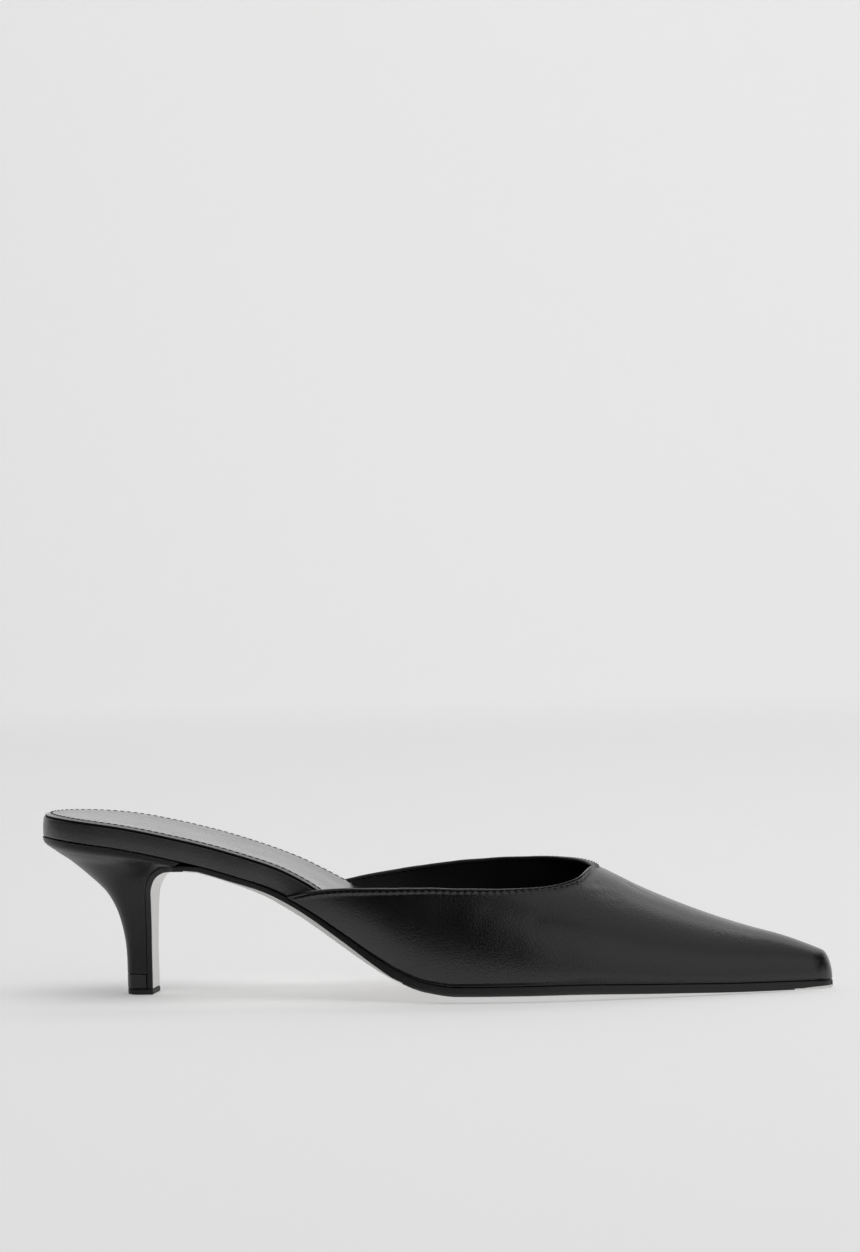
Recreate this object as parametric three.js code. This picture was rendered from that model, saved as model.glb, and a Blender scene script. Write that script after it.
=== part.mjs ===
import * as THREE from 'three';
import { mergeVertices } from 'three/addons/utils/BufferGeometryUtils.js';

// Closed toe mule with a kitten heel, right shoe.
// Millimetres, +X to the toe, +Y to the inner (medial) side, +Z up, floor at zero.

// Lengths and widths
const shoeLength = 262;
const seatWidth = 49.6;
const waistWidth = 45;
const ballWidth = 76;
const heelRounding = 25;
const toeRounding = 6.5;
const noseRounding = 3.2;

// Heights
const archRise = 51.6;
const throatHeight = 40.6;
const soleEdgeLift = 2.2;

// Thicknesses and clearances
const upperWall = 1.4;
const toplineBead = 0.3;
const toplineBeadDepth = 1.3;
const platformThickness = 6.3;
const insoleThickness = 2.6;
const sockThickness = 1.0;
const sockInset = 0.35;
const soleThickness = 2.9;
const waistSoleThickness = 1.9;
const soleReveal = 0.5;
const soleBevel = 0.4;
const seam = 0.3;
const bedding = 0.05;

// Heel
const heelTipBack = 27.3;
const heelTipLength = 9.5;
const heelTipWidth = 11;
const heelTipHeight = 6.8;
const liftThickness = 1.8;
const tipReveal = 0.25;
const breastReach = 20.2;

// Where the upper starts and where its throat lies, from the back of the seat
const wingStart = 87;
const throatStart = 184.2;

// How far in front of the upper's start the platform begins, and has finished, to reach
// out to its wall
const coverDelay = 6;
const coverReach = 16;

// How each piece is divided: rings or stations along it, rows down a side
const platformRings = 40;
const sockRings = 38;
const soleRings = 52;
const flapRings = 26;
const quarterStations = 26;
const vampStations = 22;
const sideRows = 9;
const heelBackSteps = 12;

// Half widths of the foot line, as shares of half the named width
const widths = { seat: seatWidth / 2, waist: waistWidth / 2, ball: ballWidth / 2 };
const footLine = [
  { at: 0.00, of: 'seat', lateral: 0.93, medial: 0.91 },
  { at: 0.10, of: 'seat', lateral: 1.00, medial: 0.96 },
  { at: 0.17, of: 'seat', lateral: 0.99, medial: 0.93 },
  { at: 0.24, of: 'waist', lateral: 1.03, medial: 0.91 },
  { at: 0.29, of: 'waist', lateral: 1.02, medial: 0.82 },
  { at: 0.34, of: 'waist', lateral: 1.10, medial: 0.89 },
  { at: 0.40, of: 'ball', lateral: 0.76, medial: 0.62 },
  { at: 0.46, of: 'ball', lateral: 0.89, medial: 0.775 },
  { at: 0.52, of: 'ball', lateral: 0.97, medial: 0.905 },
  { at: 0.58, of: 'ball', lateral: 1.00, medial: 0.99 },
  { at: 0.63, of: 'ball', lateral: 0.98, medial: 1.00 },
  { at: 0.70, of: 'ball', lateral: 0.89, medial: 0.94 },
  { at: 0.78, of: 'ball', lateral: 0.73, medial: 0.78 },
  { at: 0.86, of: 'ball', lateral: 0.54, medial: 0.58 },
  { at: 0.93, of: 'ball', lateral: 0.355, medial: 0.375 },
  { at: 0.97, of: 'ball', lateral: 0.245, medial: 0.255 },
  { at: 1.00, of: 'ball', lateral: 0.165, medial: 0.170 },
].map((row) => ({ ...row, lateral: row.lateral * widths[row.of], medial: row.medial * widths[row.of] }));

// Underside of the sole along its middle, as shares of the arch rise, and how much
// of the sole's full thickness, edge lift and platform thickness is there
const soleLine = [
  { at: 0.00, rise: 1.000, sole: 0, lift: 0, board: 1 },
  { at: 0.04, rise: 0.983, sole: 0, lift: 0, board: 1 },
  { at: 0.10, rise: 0.946, sole: 0, lift: 0, board: 1 },
  { at: 0.18, rise: 0.862, sole: 0, lift: 0, board: 1 },
  { at: 0.24, rise: 0.777, sole: 0.15, lift: 0, board: 1 },
  { at: 0.30, rise: 0.663, sole: 0.70, lift: 0, board: 1 },
  { at: 0.33, rise: 0.581, sole: 1.00, lift: 0.05, board: 1 },
  { at: 0.36, rise: 0.486, sole: 1.20, lift: 0.15, board: 0.95 },
  { at: 0.40, rise: 0.344, sole: 1.40, lift: 0.35, board: 0.6 },
  { at: 0.44, rise: 0.206, sole: 1.45, lift: 0.55, board: 0.25 },
  { at: 0.475, rise: 0.102, sole: 1.22, lift: 0.75, board: 0.05 },
  { at: 0.51, rise: 0.031, sole: 1.03, lift: 0.90, board: 0 },
  { at: 0.55, rise: 0, sole: 1, lift: 1, board: 0 },
  { at: 0.68, rise: 0, sole: 1, lift: 1, board: 0 },
  { at: 0.80, rise: 0, sole: 1, lift: 0.60, board: 0 },
  { at: 0.90, rise: 0, sole: 0.9, lift: 0.25, board: 0 },
  { at: 1.00, rise: 0, sole: 0.7, lift: 0.15, board: 0 },
];

// Sections of the last: crest as shares of the throat height, ridge offset, belly and
// crown as shares of the half width, full as the height where the side turns in
const lastSections = [
  { at: 0.33, crest: 1.62, ridge: 0.05, belly: 0.03, full: 0.42, crown: 0.80 },
  { at: 0.38, crest: 1.62, ridge: 0.05, belly: 0.12, full: 0.42, crown: 0.80 },
  { at: 0.44, crest: 1.58, ridge: 0.06, belly: 0.16, full: 0.46, crown: 0.78 },
  { at: 0.50, crest: 1.50, ridge: 0.08, belly: 0.12, full: 0.52, crown: 0.72 },
  { at: 0.56, crest: 1.38, ridge: 0.10, belly: 0.08, full: 0.56, crown: 0.70 },
  { at: 0.61, crest: 1.27, ridge: 0.11, belly: 0.06, full: 0.58, crown: 0.66 },
  { at: 0.66, crest: 1.12, ridge: 0.12, belly: 0.05, full: 0.60, crown: 0.62 },
  { at: 0.703, crest: 1.00, ridge: 0.10, belly: 0.05, full: 0.60, crown: 0.58 },
  { at: 0.77, crest: 0.79, ridge: 0.09, belly: 0.05, full: 0.62, crown: 0.56 },
  { at: 0.84, crest: 0.61, ridge: 0.08, belly: 0.05, full: 0.64, crown: 0.56 },
  { at: 0.90, crest: 0.488, ridge: 0.06, belly: 0.06, full: 0.66, crown: 0.58 },
  { at: 0.93, crest: 0.437, ridge: 0.045, belly: 0.07, full: 0.68, crown: 0.60 },
  { at: 0.95, crest: 0.396, ridge: 0.03, belly: 0.08, full: 0.70, crown: 0.62 },
  { at: 0.975, crest: 0.335, ridge: 0.015, belly: 0.08, full: 0.73, crown: 0.66 },
  { at: 1.00, crest: 0.268, ridge: 0, belly: 0.08, full: 0.75, crown: 0.70 },
];

// Topline heights as shares of the throat height, from the wing tips to the throat
const lateralTopline = [
  { at: 0.332, rise: 0.845 },
  { at: 0.350, rise: 0.868 },
  { at: 0.367, rise: 0.889 },
  { at: 0.400, rise: 0.909 },
  { at: 0.450, rise: 0.916 },
  { at: 0.510, rise: 0.914 },
  { at: 0.560, rise: 0.902 },
  { at: 0.610, rise: 0.892 },
  { at: 0.650, rise: 0.893 },
  { at: 0.676, rise: 0.912 },
  { at: 0.692, rise: 0.945 },
];
const medialTopline = [
  { at: 0.332, rise: 0.825 },
  { at: 0.350, rise: 0.845 },
  { at: 0.367, rise: 0.863 },
  { at: 0.400, rise: 0.905 },
  { at: 0.450, rise: 0.952 },
  { at: 0.510, rise: 0.996 },
  { at: 0.560, rise: 1.018 },
  { at: 0.610, rise: 1.030 },
  { at: 0.650, rise: 1.034 },
  { at: 0.676, rise: 1.032 },
  { at: 0.692, rise: 1.020 },
];

// Front of the breast flap, from the waist down to the heel tip: out as shares of the
// breast reach, up as shares of the arch rise
const breastLine = [
  { out: 0.78, up: 0.820 },
  { out: 0.52, up: 0.817 },
  { out: 0.30, up: 0.795 },
  { out: 0.13, up: 0.750 },
  { out: 0.04, up: 0.680 },
  { out: 0.02, up: 0.580 },
  { out: 0.01, up: 0.440 },
  { out: 0.00, up: 0.280 },
  { out: 0.00, up: 0.140 },
];

// Heel sections from the tip up: back as shares of the heel tip's distance from the
// seat's back, up as shares of the arch rise, wide as shares of the seat width,
// breast as the share of the breast line, counted from the flap's lower end
const heelSections = [
  { back: 1.000, up: 0.22, wide: 0.212, breast: 0.22, bow: 0 },
  { back: 0.990, up: 0.32, wide: 0.220, breast: 0.33, bow: 0 },
  { back: 0.960, up: 0.42, wide: 0.240, breast: 0.43, bow: 0 },
  { back: 0.910, up: 0.52, wide: 0.275, breast: 0.53, bow: 0 },
  { back: 0.835, up: 0.61, wide: 0.335, breast: 0.61, bow: 0 },
  { back: 0.700, up: 0.705, wide: 0.440, breast: 0.68, bow: 0.05 },
  { back: 0.540, up: 0.785, wide: 0.570, breast: 0.73, bow: 0.15 },
  { back: 0.360, up: 0.868, wide: 0.715, breast: 0.78, bow: 0.35 },
  { back: 0.190, up: 0.942, wide: 0.865, breast: 0.82, bow: 0.65 },
  { back: 0.075, up: 1.003, wide: 0.965, breast: 0.86, bow: 0.92 },
];

const acrossShares = [-1, -0.8, -0.55, -0.3, 0.3, 0.55, 0.8, 1];

function clamp(value, low, high) {
  return Math.min(Math.max(value, low), high);
}

function blend(from, to, value) {
  const share = clamp((value - from) / (to - from), 0, 1);
  return share * share * (3 - 2 * share);
}

// A smooth curve through one column of a table, with no overshoot
function follow(rows, column, at) {
  const last = rows.length - 1;
  const place = clamp(at, rows[0].at, rows[last].at);
  let i = 0;
  while (i < last - 1 && place > rows[i + 1].at) i += 1;
  const slope = (k) => (rows[k + 1][column] - rows[k][column]) / (rows[k + 1].at - rows[k].at);
  const tangent = (k) => {
    if (k === 0) return slope(0);
    if (k === last) return slope(last - 1);
    const before = slope(k - 1);
    const after = slope(k);
    return before * after <= 0 ? 0 : (2 * before * after) / (before + after);
  };
  const step = rows[i + 1].at - rows[i].at;
  const t = (place - rows[i].at) / step;
  const from = rows[i][column];
  const to = rows[i + 1][column];
  return (
    from * (1 + 2 * t) * (1 - t) ** 2 + step * tangent(i) * t * (1 - t) ** 2
    + to * (3 - 2 * t) * t ** 2 + step * tangent(i + 1) * t ** 2 * (t - 1)
  );
}

// A quarter ellipse that closes an end: one away from it, zero at it
function roundEnd(distance, rounding) {
  const share = clamp(1 - distance / rounding, 0, 1);
  return Math.sqrt(1 - share * share);
}

function halfWidth(x, side, inset) {
  const table = follow(footLine, side, x / shoeLength);
  const toe = roundEnd(shoeLength - inset - x, toeRounding);
  const heel = roundEnd(x - inset, heelRounding);
  return (table - inset) * toe * heel;
}

function soleHeight(x) {
  return archRise * follow(soleLine, 'rise', x / shoeLength);
}

function soleAt(x) {
  const extra = soleThickness - waistSoleThickness;
  return waistSoleThickness + extra * follow(soleLine, 'sole', x / shoeLength);
}

function boardAt(x) {
  const extra = platformThickness - insoleThickness;
  return insoleThickness + extra * follow(soleLine, 'board', x / shoeLength);
}

// The underside curls up towards its edges, around a flat middle
function edgeLift(x, y) {
  const flatShare = 0.3;
  const side = y < 0 ? 'lateral' : 'medial';
  const share = Math.abs(y) / follow(footLine, side, x / shoeLength);
  const curl = clamp((share - flatShare) / (1 - flatShare), 0, 1.2);
  return soleEdgeLift * follow(soleLine, 'lift', x / shoeLength) * curl * curl;
}

function solePoint(x) {
  const step = 0.5;
  const slope = (soleHeight(x + step) - soleHeight(x - step)) / (2 * step);
  const size = Math.hypot(1, slope);
  return { x, z: soleHeight(x), nx: -slope / size, nz: 1 / size };
}

// Height of the foot line, where the upper meets the sole
function featherHeight(x, y) {
  const point = solePoint(x);
  return point.z + (soleAt(x) + seam) / point.nz + edgeLift(x, y);
}

// Point of the last's surface: s is -1 on the lateral foot line, 0 on the ridge,
// 1 on the medial foot line
function lastPoint(x, s, inset) {
  const sign = s < 0 ? -1 : 1;
  const side = s < 0 ? 'lateral' : 'medial';
  const t = 1 - Math.abs(s);
  const at = x / shoeLength;
  const foot = halfWidth(x, side, inset);
  const low = featherHeight(x, sign * foot);
  const nose = roundEnd(shoeLength - inset - x, noseRounding);
  const floor = featherHeight(x, 0);
  const crest = floor + (throatHeight * follow(lastSections, 'crest', at) - inset - floor) * nose;
  const rise = crest - low;
  const wide = (halfWidth(x, 'lateral', inset) + halfWidth(x, 'medial', inset)) / 2;
  const ridge = wide * follow(lastSections, 'ridge', at);
  const belly = foot * (1 + follow(lastSections, 'belly', at));
  const crown = foot * follow(lastSections, 'crown', at);
  const weights = [(1 - t) ** 3, 3 * t * (1 - t) ** 2, 3 * t * t * (1 - t), t ** 3];
  const across = [foot, belly, crown + sign * ridge, sign * ridge];
  const up = [0, rise * follow(lastSections, 'full', at), rise, rise];
  const y = sign * weights.reduce((sum, weight, k) => sum + weight * across[k], 0);
  const z = low + weights.reduce((sum, weight, k) => sum + weight * up[k], 0);
  return new THREE.Vector3(x, y, z);
}

// Where the last's surface reaches a height at one station
function sectionShare(x, sign, height) {
  let low = 0;
  let high = 1;
  for (let i = 0; i < 30; i += 1) {
    const t = (low + high) / 2;
    if (lastPoint(x, sign * (1 - t), 0).z < height) low = t;
    else high = t;
  }
  return sign * (1 - (low + high) / 2);
}

// Share of the section where the topline lies, at one station of one side
function toplineAt(rows, sign) {
  const stretch = ballWidth;
  const points = rows.map((row) => {
    const x = row.at * shoeLength;
    return new THREE.Vector3(x, stretch * sectionShare(x, sign, row.rise * throatHeight), 0);
  });
  const beside = points[points.length - 1];
  points.push(new THREE.Vector3(throatStart, 0, 0));
  points.push(new THREE.Vector3(2 * throatStart - beside.x, -beside.y, 0));
  const curve = new THREE.CatmullRomCurve3(points, false, 'centripetal');
  const throat = (points.length - 2) / (points.length - 1);
  return (x) => {
    let low = 0;
    let high = throat;
    for (let i = 0; i < 30; i += 1) {
      const middle = (low + high) / 2;
      if (curve.getPoint(middle).x < x) low = middle;
      else high = middle;
    }
    return curve.getPoint((low + high) / 2).y / stretch;
  };
}

function meshFrom(name, points, faces, material) {
  const geometry = new THREE.BufferGeometry();
  const flat = points.flatMap((p) => [p.x, p.y, p.z]);
  geometry.setAttribute('position', new THREE.Float32BufferAttribute(flat, 3));
  geometry.setIndex(faces.flat());
  const merged = mergeVertices(geometry, 1e-3);
  const index = merged.getIndex().array;
  const kept = [];
  for (let i = 0; i < index.length; i += 3) {
    const [a, b, c] = [index[i], index[i + 1], index[i + 2]];
    if (a !== b && b !== c && c !== a) kept.push(a, b, c);
  }
  merged.setIndex(turnOutward(merged.getAttribute('position'), kept));
  const mesh = new THREE.Mesh(merged, material);
  mesh.name = name;
  return mesh;
}

function turnOutward(position, index) {
  const corner = (k) => new THREE.Vector3().fromBufferAttribute(position, index[k]);
  let volume = 0;
  for (let i = 0; i < index.length; i += 3) {
    volume += corner(i).dot(corner(i + 1).cross(corner(i + 2)));
  }
  return volume < 0 ? index.slice().reverse() : index;
}

// A closed body through rings of equal count, capped at both ends
function loft(name, rings, material) {
  const count = rings[0].length;
  const points = rings.flat();
  const faces = [];
  for (let i = 0; i < rings.length - 1; i += 1) {
    for (let j = 0; j < count; j += 1) {
      const next = (j + 1) % count;
      const [a, b] = [i * count + j, i * count + next];
      const [c, d] = [b + count, a + count];
      faces.push([a, b, c], [a, c, d]);
    }
  }
  const cap = (ring, flip) => {
    const start = ring * count;
    const centre = rings[ring].reduce((sum, p) => sum.add(p), new THREE.Vector3()).divideScalar(count);
    points.push(centre);
    for (let j = 0; j < count; j += 1) {
      const pair = [start + j, start + ((j + 1) % count)];
      if (flip) pair.reverse();
      faces.push([pair[1], pair[0], points.length - 1]);
    }
  };
  cap(0, false);
  cap(rings.length - 1, true);
  return meshFrom(name, points, faces, material);
}

// Stations from the heel's end to the toe's end, closer together where an end rounds
function stations(from, to, count) {
  const crowding = 0.13;
  const list = [];
  for (let i = 0; i <= count; i += 1) {
    const share = i / count;
    const eased = share - crowding * Math.sin(2 * Math.PI * share);
    list.push(from + (to - from) * eased);
  }
  return list;
}

// The platform and sock draw in, over a short way, to pass inside the upper
function upperInset(x) {
  const drawIn = 18;
  return (upperWall + seam) * blend(wingStart - drawIn, wingStart, x);
}

// How far the inside of the upper lies from the middle, at one station and height
function insideReach(x, sign, height) {
  const shoulder = 0.8;
  let low = 0;
  let high = shoulder;
  for (let i = 0; i < 24; i += 1) {
    const t = (low + high) / 2;
    if (lastPoint(x, sign * (1 - t), upperWall).z < height) low = t;
    else high = t;
  }
  return Math.abs(lastPoint(x, sign * (1 - low), upperWall).y);
}

// Half widths of a slab: at its foot it keeps off the upper's wall, and at its top
// it reaches out to that wall where the upper stands beside it
function slabWidths(x, height, inset) {
  const coverStart = wingStart + coverDelay;
  const coverEnd = wingStart + coverReach;
  const wallClearance = seam + 0.1;
  const point = solePoint(x);
  const topX = point.x + point.nx * height;
  const covered = blend(coverStart, coverEnd, topX);
  const side = (name, sign) => {
    const plain = halfWidth(x, name, 0) - upperInset(x) - inset;
    const topZ = point.z + point.nz * height + edgeLift(x, sign * plain);
    const reach = covered > 0 ? insideReach(topX, sign, topZ) - wallClearance - inset : plain;
    return { low: plain, high: Math.max(plain, plain + (reach - plain) * covered) };
  };
  return { lateral: side('lateral', -1), medial: side('medial', 1) };
}

// A ring across a slab that lies at a height over the sole's underside. The bevel is how
// far its lower edges are cut up.
function slabRing(point, lateral, medial, low, high, rounding, bevel = 0) {
  const width = (share, level) => (share < 0 ? lateral[level] : medial[level]);
  const place = (y, height) => {
    const z = point.z + point.nz * height + edgeLift(point.x, y);
    return new THREE.Vector3(point.x + point.nx * height, y, z);
  };
  const bottom = acrossShares.map((share) => {
    const cut = Math.abs(share) === 1 ? bevel : 0;
    return place(share * width(share, 'low'), low + cut);
  });
  const top = acrossShares.map((share) => {
    const most = width(share, 'high') - Math.min(rounding, width(share, 'high') / 2);
    const y = share * width(share, 'high');
    return place(Math.sign(y) * Math.min(Math.abs(y), most), high);
  });
  const rims = [place(medial.high, high - rounding), place(-lateral.high, high - rounding)];
  return [...bottom, rims[0], ...top.reverse(), rims[1]];
}

function evenSide(width) {
  return { low: width, high: width };
}

function closedBy(side, share, least) {
  return { low: Math.max(side.low * share, least), high: Math.max(side.high * share, least) };
}

function buildPlatform(material) {
  const firstRing = 0.35;
  const toeClearance = 2.2;
  const toeBlunting = 0.3;
  const rimRounding = 0.6;
  const leastWidth = 0.8;
  const toeEnd = shoeLength - upperWall - toeClearance;
  const rings = [0, ...stations(firstRing, toeEnd, platformRings)].map((x) => {
    const base = soleAt(x) + seam;
    const top = base + boardAt(x);
    const wide = slabWidths(x, top, 0);
    const toe = roundEnd(toeEnd + toeBlunting - x, toeRounding);
    const lateral = closedBy(wide.lateral, toe, leastWidth);
    const medial = closedBy(wide.medial, toe, leastWidth);
    return slabRing(solePoint(x), lateral, medial, base, top, rimRounding);
  });
  return loft('insole_platform', rings, material);
}

function buildSock(material) {
  const firstRing = 0.35;
  const toeClearance = 6;
  const toeBlunting = 0.3;
  const edgeRounding = 0.35;
  const leastWidth = 0.6;
  const toeEnd = shoeLength - upperWall - toeClearance;
  const rings = stations(sockInset + firstRing, toeEnd, sockRings).map((x) => {
    const base = soleAt(x) + boardAt(x) + 2 * seam;
    const top = base + sockThickness;
    const wide = slabWidths(x, top, sockInset);
    const toe = roundEnd(toeEnd + toeBlunting - x, toeRounding);
    const heel = roundEnd(x - sockInset, heelRounding) / roundEnd(x, heelRounding);
    const lateral = closedBy(wide.lateral, toe * heel, leastWidth);
    const medial = closedBy(wide.medial, toe * heel, leastWidth);
    return slabRing(solePoint(x), lateral, medial, base, top, edgeRounding);
  });
  return loft('insole_sock', rings, material);
}

// The breast line as points, from the waist down to the heel tip
function breastPoints() {
  const front = heelTipBack + heelTipLength;
  return breastLine.map((row) => new THREE.Vector3(front + row.out * breastReach, 0, row.up * archRise));
}

function breastCurve() {
  const points = breastPoints();
  const front = heelTipBack + heelTipLength;
  points.push(new THREE.Vector3(front, 0, liftThickness + seam));
  points.unshift(new THREE.Vector3(front + breastReach, 0, soleHeight(front + breastReach)));
  return new THREE.CatmullRomCurve3(points, false, 'centripetal');
}

function pathPoint(curve, u) {
  const point = curve.getPointAt(u);
  const tangent = curve.getTangentAt(u);
  return { x: point.x, z: point.z, nx: tangent.z, nz: -tangent.x };
}

// Half width of the heel's breast along the breast line, which the flap follows
const breastWidths = [
  { at: 0, wide: heelTipWidth / 2 },
  ...heelSections.map((row) => ({ at: row.breast, wide: (row.wide * seatWidth) / 2 })),
];

function buildOutsole(material) {
  const edgeRounding = 0.5;
  const leastWidth = 0.8;
  const waistFrom = 0.9;
  const revealRise = 25;
  const revealFall = 30;
  const curve = breastCurve();
  const flap = [];
  for (let i = 0; i < flapRings; i += 1) {
    const share = i / flapRings;
    const point = pathPoint(curve, 1 - share);
    const full = blend(waistFrom, 1, share);
    const heelWide = follow(breastWidths, 'wide', share) * (1 - full);
    const across = (side) => evenSide(heelWide + halfWidth(point.x, side, 0) * full);
    flap.push(slabRing(point, across('lateral'), across('medial'), 0, waistSoleThickness, edgeRounding));
  }
  const front = heelTipBack + heelTipLength + breastReach;
  const sole = stations(front, shoeLength, soleRings).map((x) => {
    const rise = blend(wingStart, wingStart + revealRise, x);
    const reveal = soleReveal * rise * blend(shoeLength, shoeLength - revealFall, x);
    const across = (side) => evenSide(Math.max(halfWidth(x, side, 0) + reveal, leastWidth));
    const bevel = soleBevel * follow(soleLine, 'lift', x / shoeLength);
    return slabRing(solePoint(x), across('lateral'), across('medial'), 0, soleAt(x), edgeRounding, bevel);
  });
  return loft('outsole', [...flap, ...sole], material);
}

// Height of the seat's underside, where the heel ends
function bedAt(x) {
  return soleHeight(x) + waistSoleThickness / solePoint(x).nz;
}

// A ring round the heel: rounded at the back, flat across its breast. Fit draws it to
// the seat's outline, and bow to the seat's curved underside.
function heelRing(back, front, halfWide, fit, bow) {
  const rounding = 0.5;
  const side = [];
  for (let i = 0; i <= heelBackSteps; i += 1) {
    const angle = (i / heelBackSteps) * (Math.PI / 2);
    side.push(rounding * (1 - Math.cos(angle)));
  }
  side.push((1 + rounding) / 2, 1);
  const place = (share, sign) => {
    const x = back.x + (front.x - back.x) * share;
    const chord = back.z + (front.z - back.z) * share;
    const plain = halfWide * roundEnd(share, rounding);
    const seat = halfWidth(x, sign < 0 ? 'lateral' : 'medial', 0);
    const ends = (back.bed - back.z) * (1 - share) + (front.bed - front.z) * share;
    const z = chord + bow * (bedAt(x) - chord - ends);
    return new THREE.Vector3(x, sign * (plain * (1 - fit) + seat * fit), z);
  };
  const lateral = side.slice(1).map((share) => place(share, -1));
  const medial = side.slice(1).map((share) => place(share, 1)).reverse();
  return [place(0, 1), ...lateral, ...medial];
}

function buildHeel(material) {
  const topBack = 0.8;
  const topBreast = 0.9;
  const curve = breastCurve();
  const behind = waistSoleThickness + seam;
  const breastPoint = (section) => {
    const point = pathPoint(curve, 1 - section.breast);
    return { x: point.x + point.nx * behind, z: point.z + point.nz * behind };
  };
  const rings = heelSections.map((section) => {
    const back = { x: section.back * heelTipBack, z: section.up * archRise };
    const front = breastPoint(section);
    back.bed = bedAt(back.x);
    front.bed = bedAt(front.x);
    const fit = blend(0.5, 1, section.bow);
    return heelRing(back, front, (section.wide * seatWidth) / 2, fit, section.bow);
  });
  const foot = heelTipHeight + seam;
  const lowBack = { x: heelTipBack, z: foot, bed: foot };
  const lowFront = { x: heelTipBack + heelTipLength - behind, z: foot, bed: foot };
  const low = heelRing(lowBack, lowFront, heelTipWidth / 2 - tipReveal, 0, 0);
  const under = (x) => ({ x, z: bedAt(x) - bedding, bed: bedAt(x) });
  const top = heelRing(under(topBack), under(pathPoint(curve, 1 - topBreast).x), seatWidth / 2, 1, 1);
  return loft('heel', [low, ...rings, top], material);
}

// The tip and the lift share the heel's section at its foot
function tipRing(z, grow, breast) {
  const back = { x: heelTipBack - grow, z, bed: z };
  const front = { x: heelTipBack + heelTipLength - breast, z, bed: z };
  return heelRing(back, front, heelTipWidth / 2 + grow, 0, 0);
}

function buildHeelTip(material) {
  const behind = waistSoleThickness + seam;
  const low = liftThickness + seam;
  return loft('heel_tip', [tipRing(low, 0, behind), tipRing(heelTipHeight, 0, behind)], material);
}

function buildTopLift(material) {
  const rounding = 0.25;
  const rings = [
    tipRing(0, -rounding, rounding),
    tipRing(rounding, 0, 0),
    tipRing(liftThickness, 0, 0),
  ];
  return loft('top_lift', rings, material);
}

// Stations of the upper, closer together at the throat and at the toe
function upperStations() {
  const quarter = [];
  for (let i = 0; i < quarterStations; i += 1) {
    const share = Math.sin((i / quarterStations) * (Math.PI / 2));
    quarter.push(wingStart + (throatStart - wingStart) * share);
  }
  const vamp = [];
  for (let i = 0; i <= vampStations; i += 1) {
    const share = i / vampStations;
    vamp.push(throatStart + (shoeLength - throatStart) * (1 - (1 - share) ** 2));
  }
  return [...quarter, ...vamp];
}

// Where the rows of one side lie, from the topline's bead down to the foot line
function sideShares(x, from, sign) {
  const beadRows = [0, 0.5, 0.9, 1];
  const mostBand = 0.4;
  const tall = lastPoint(x, from, 0).distanceTo(lastPoint(x, sign, 0));
  const band = Math.min(toplineBeadDepth / tall, mostBand);
  const shares = beadRows.map((row) => row * band);
  for (let k = 1; k <= sideRows; k += 1) shares.push(band + (1 - band) * (k / sideRows));
  return shares.map((share) => from + (sign - from) * share);
}

// One shell, outside and inside, joined along the topline, the wing tips and the foot
// line. In front of the throat both sides meet on the ridge.
function buildUpper(material) {
  const beadEnd = 3;
  const toplines = { lateral: toplineAt(lateralTopline, -1), medial: toplineAt(medialTopline, 1) };
  const squeeze = (shoeLength - upperWall - wingStart) / (shoeLength - wingStart);
  const list = upperStations();
  const sides = [{ name: 'lateral', sign: -1 }, { name: 'medial', sign: 1 }];
  const perSide = beadEnd + sideRows + 1;
  const points = [];
  const number = (station, side, inner, k) => ((station * 2 + side) * 2 + inner) * perSide + k;
  for (const x of list) {
    const open = x < throatStart;
    const insideX = wingStart + (x - wingStart) * squeeze;
    for (const { name, sign } of sides) {
      const shares = sideShares(x, open ? toplines[name](x) : 0, sign);
      shares.forEach((s, k) => {
        const bead = open && k > 0 && k < beadEnd ? -toplineBead : 0;
        points.push(lastPoint(x, s, bead));
      });
      shares.forEach((s) => points.push(lastPoint(insideX, s, upperWall)));
    }
  }
  const faces = [];
  const quad = (corners, flip) => {
    const [a, b, c, d] = flip ? [...corners].reverse() : corners;
    faces.push([a, b, c], [a, c, d]);
  };
  for (const side of [0, 1]) {
    const flip = side === 1;
    for (let i = 0; i < list.length - 1; i += 1) {
      for (const inner of [0, 1]) {
        for (let k = 0; k < perSide - 1; k += 1) {
          const near = [number(i, side, inner, k), number(i + 1, side, inner, k)];
          const far = [number(i + 1, side, inner, k + 1), number(i, side, inner, k + 1)];
          quad([...near, ...far], flip !== (inner === 1));
        }
      }
      const rim = (k, turned) => {
        const back = [number(i, side, 0, k), number(i, side, 1, k)];
        const front = [number(i + 1, side, 1, k), number(i + 1, side, 0, k)];
        quad([...back, ...front], flip !== turned);
      };
      if (list[i] < throatStart) rim(0, false);
      rim(perSide - 1, true);
    }
    for (let k = 0; k < perSide - 1; k += 1) {
      const outside = [number(0, side, 0, k), number(0, side, 0, k + 1)];
      const inside = [number(0, side, 1, k + 1), number(0, side, 1, k)];
      quad([...outside, ...inside], flip);
    }
  }
  return meshFrom('upper', points, faces, material);
}

function leather(tone, roughness) {
  return new THREE.MeshStandardMaterial({ color: tone, roughness, metalness: 0 });
}

const shoe = new THREE.Group();
shoe.add(buildUpper(leather(0x161616, 0.38)));
shoe.add(buildPlatform(leather(0x1a1a1a, 0.42)));
shoe.add(buildSock(leather(0x202020, 0.4)));
shoe.add(buildOutsole(leather(0xb9b2ab, 0.5)));
shoe.add(buildHeel(leather(0x1a1a1a, 0.42)));
shoe.add(buildHeelTip(leather(0x1a1a1a, 0.42)));
shoe.add(buildTopLift(leather(0x101010, 0.7)));
shoe.position.x = -shoeLength / 2;

const mule = new THREE.Group();
mule.add(shoe);

export default mule;
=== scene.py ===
import math

import bmesh
import bpy
import numpy as np
from mathutils import Matrix, Vector, kdtree


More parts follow.
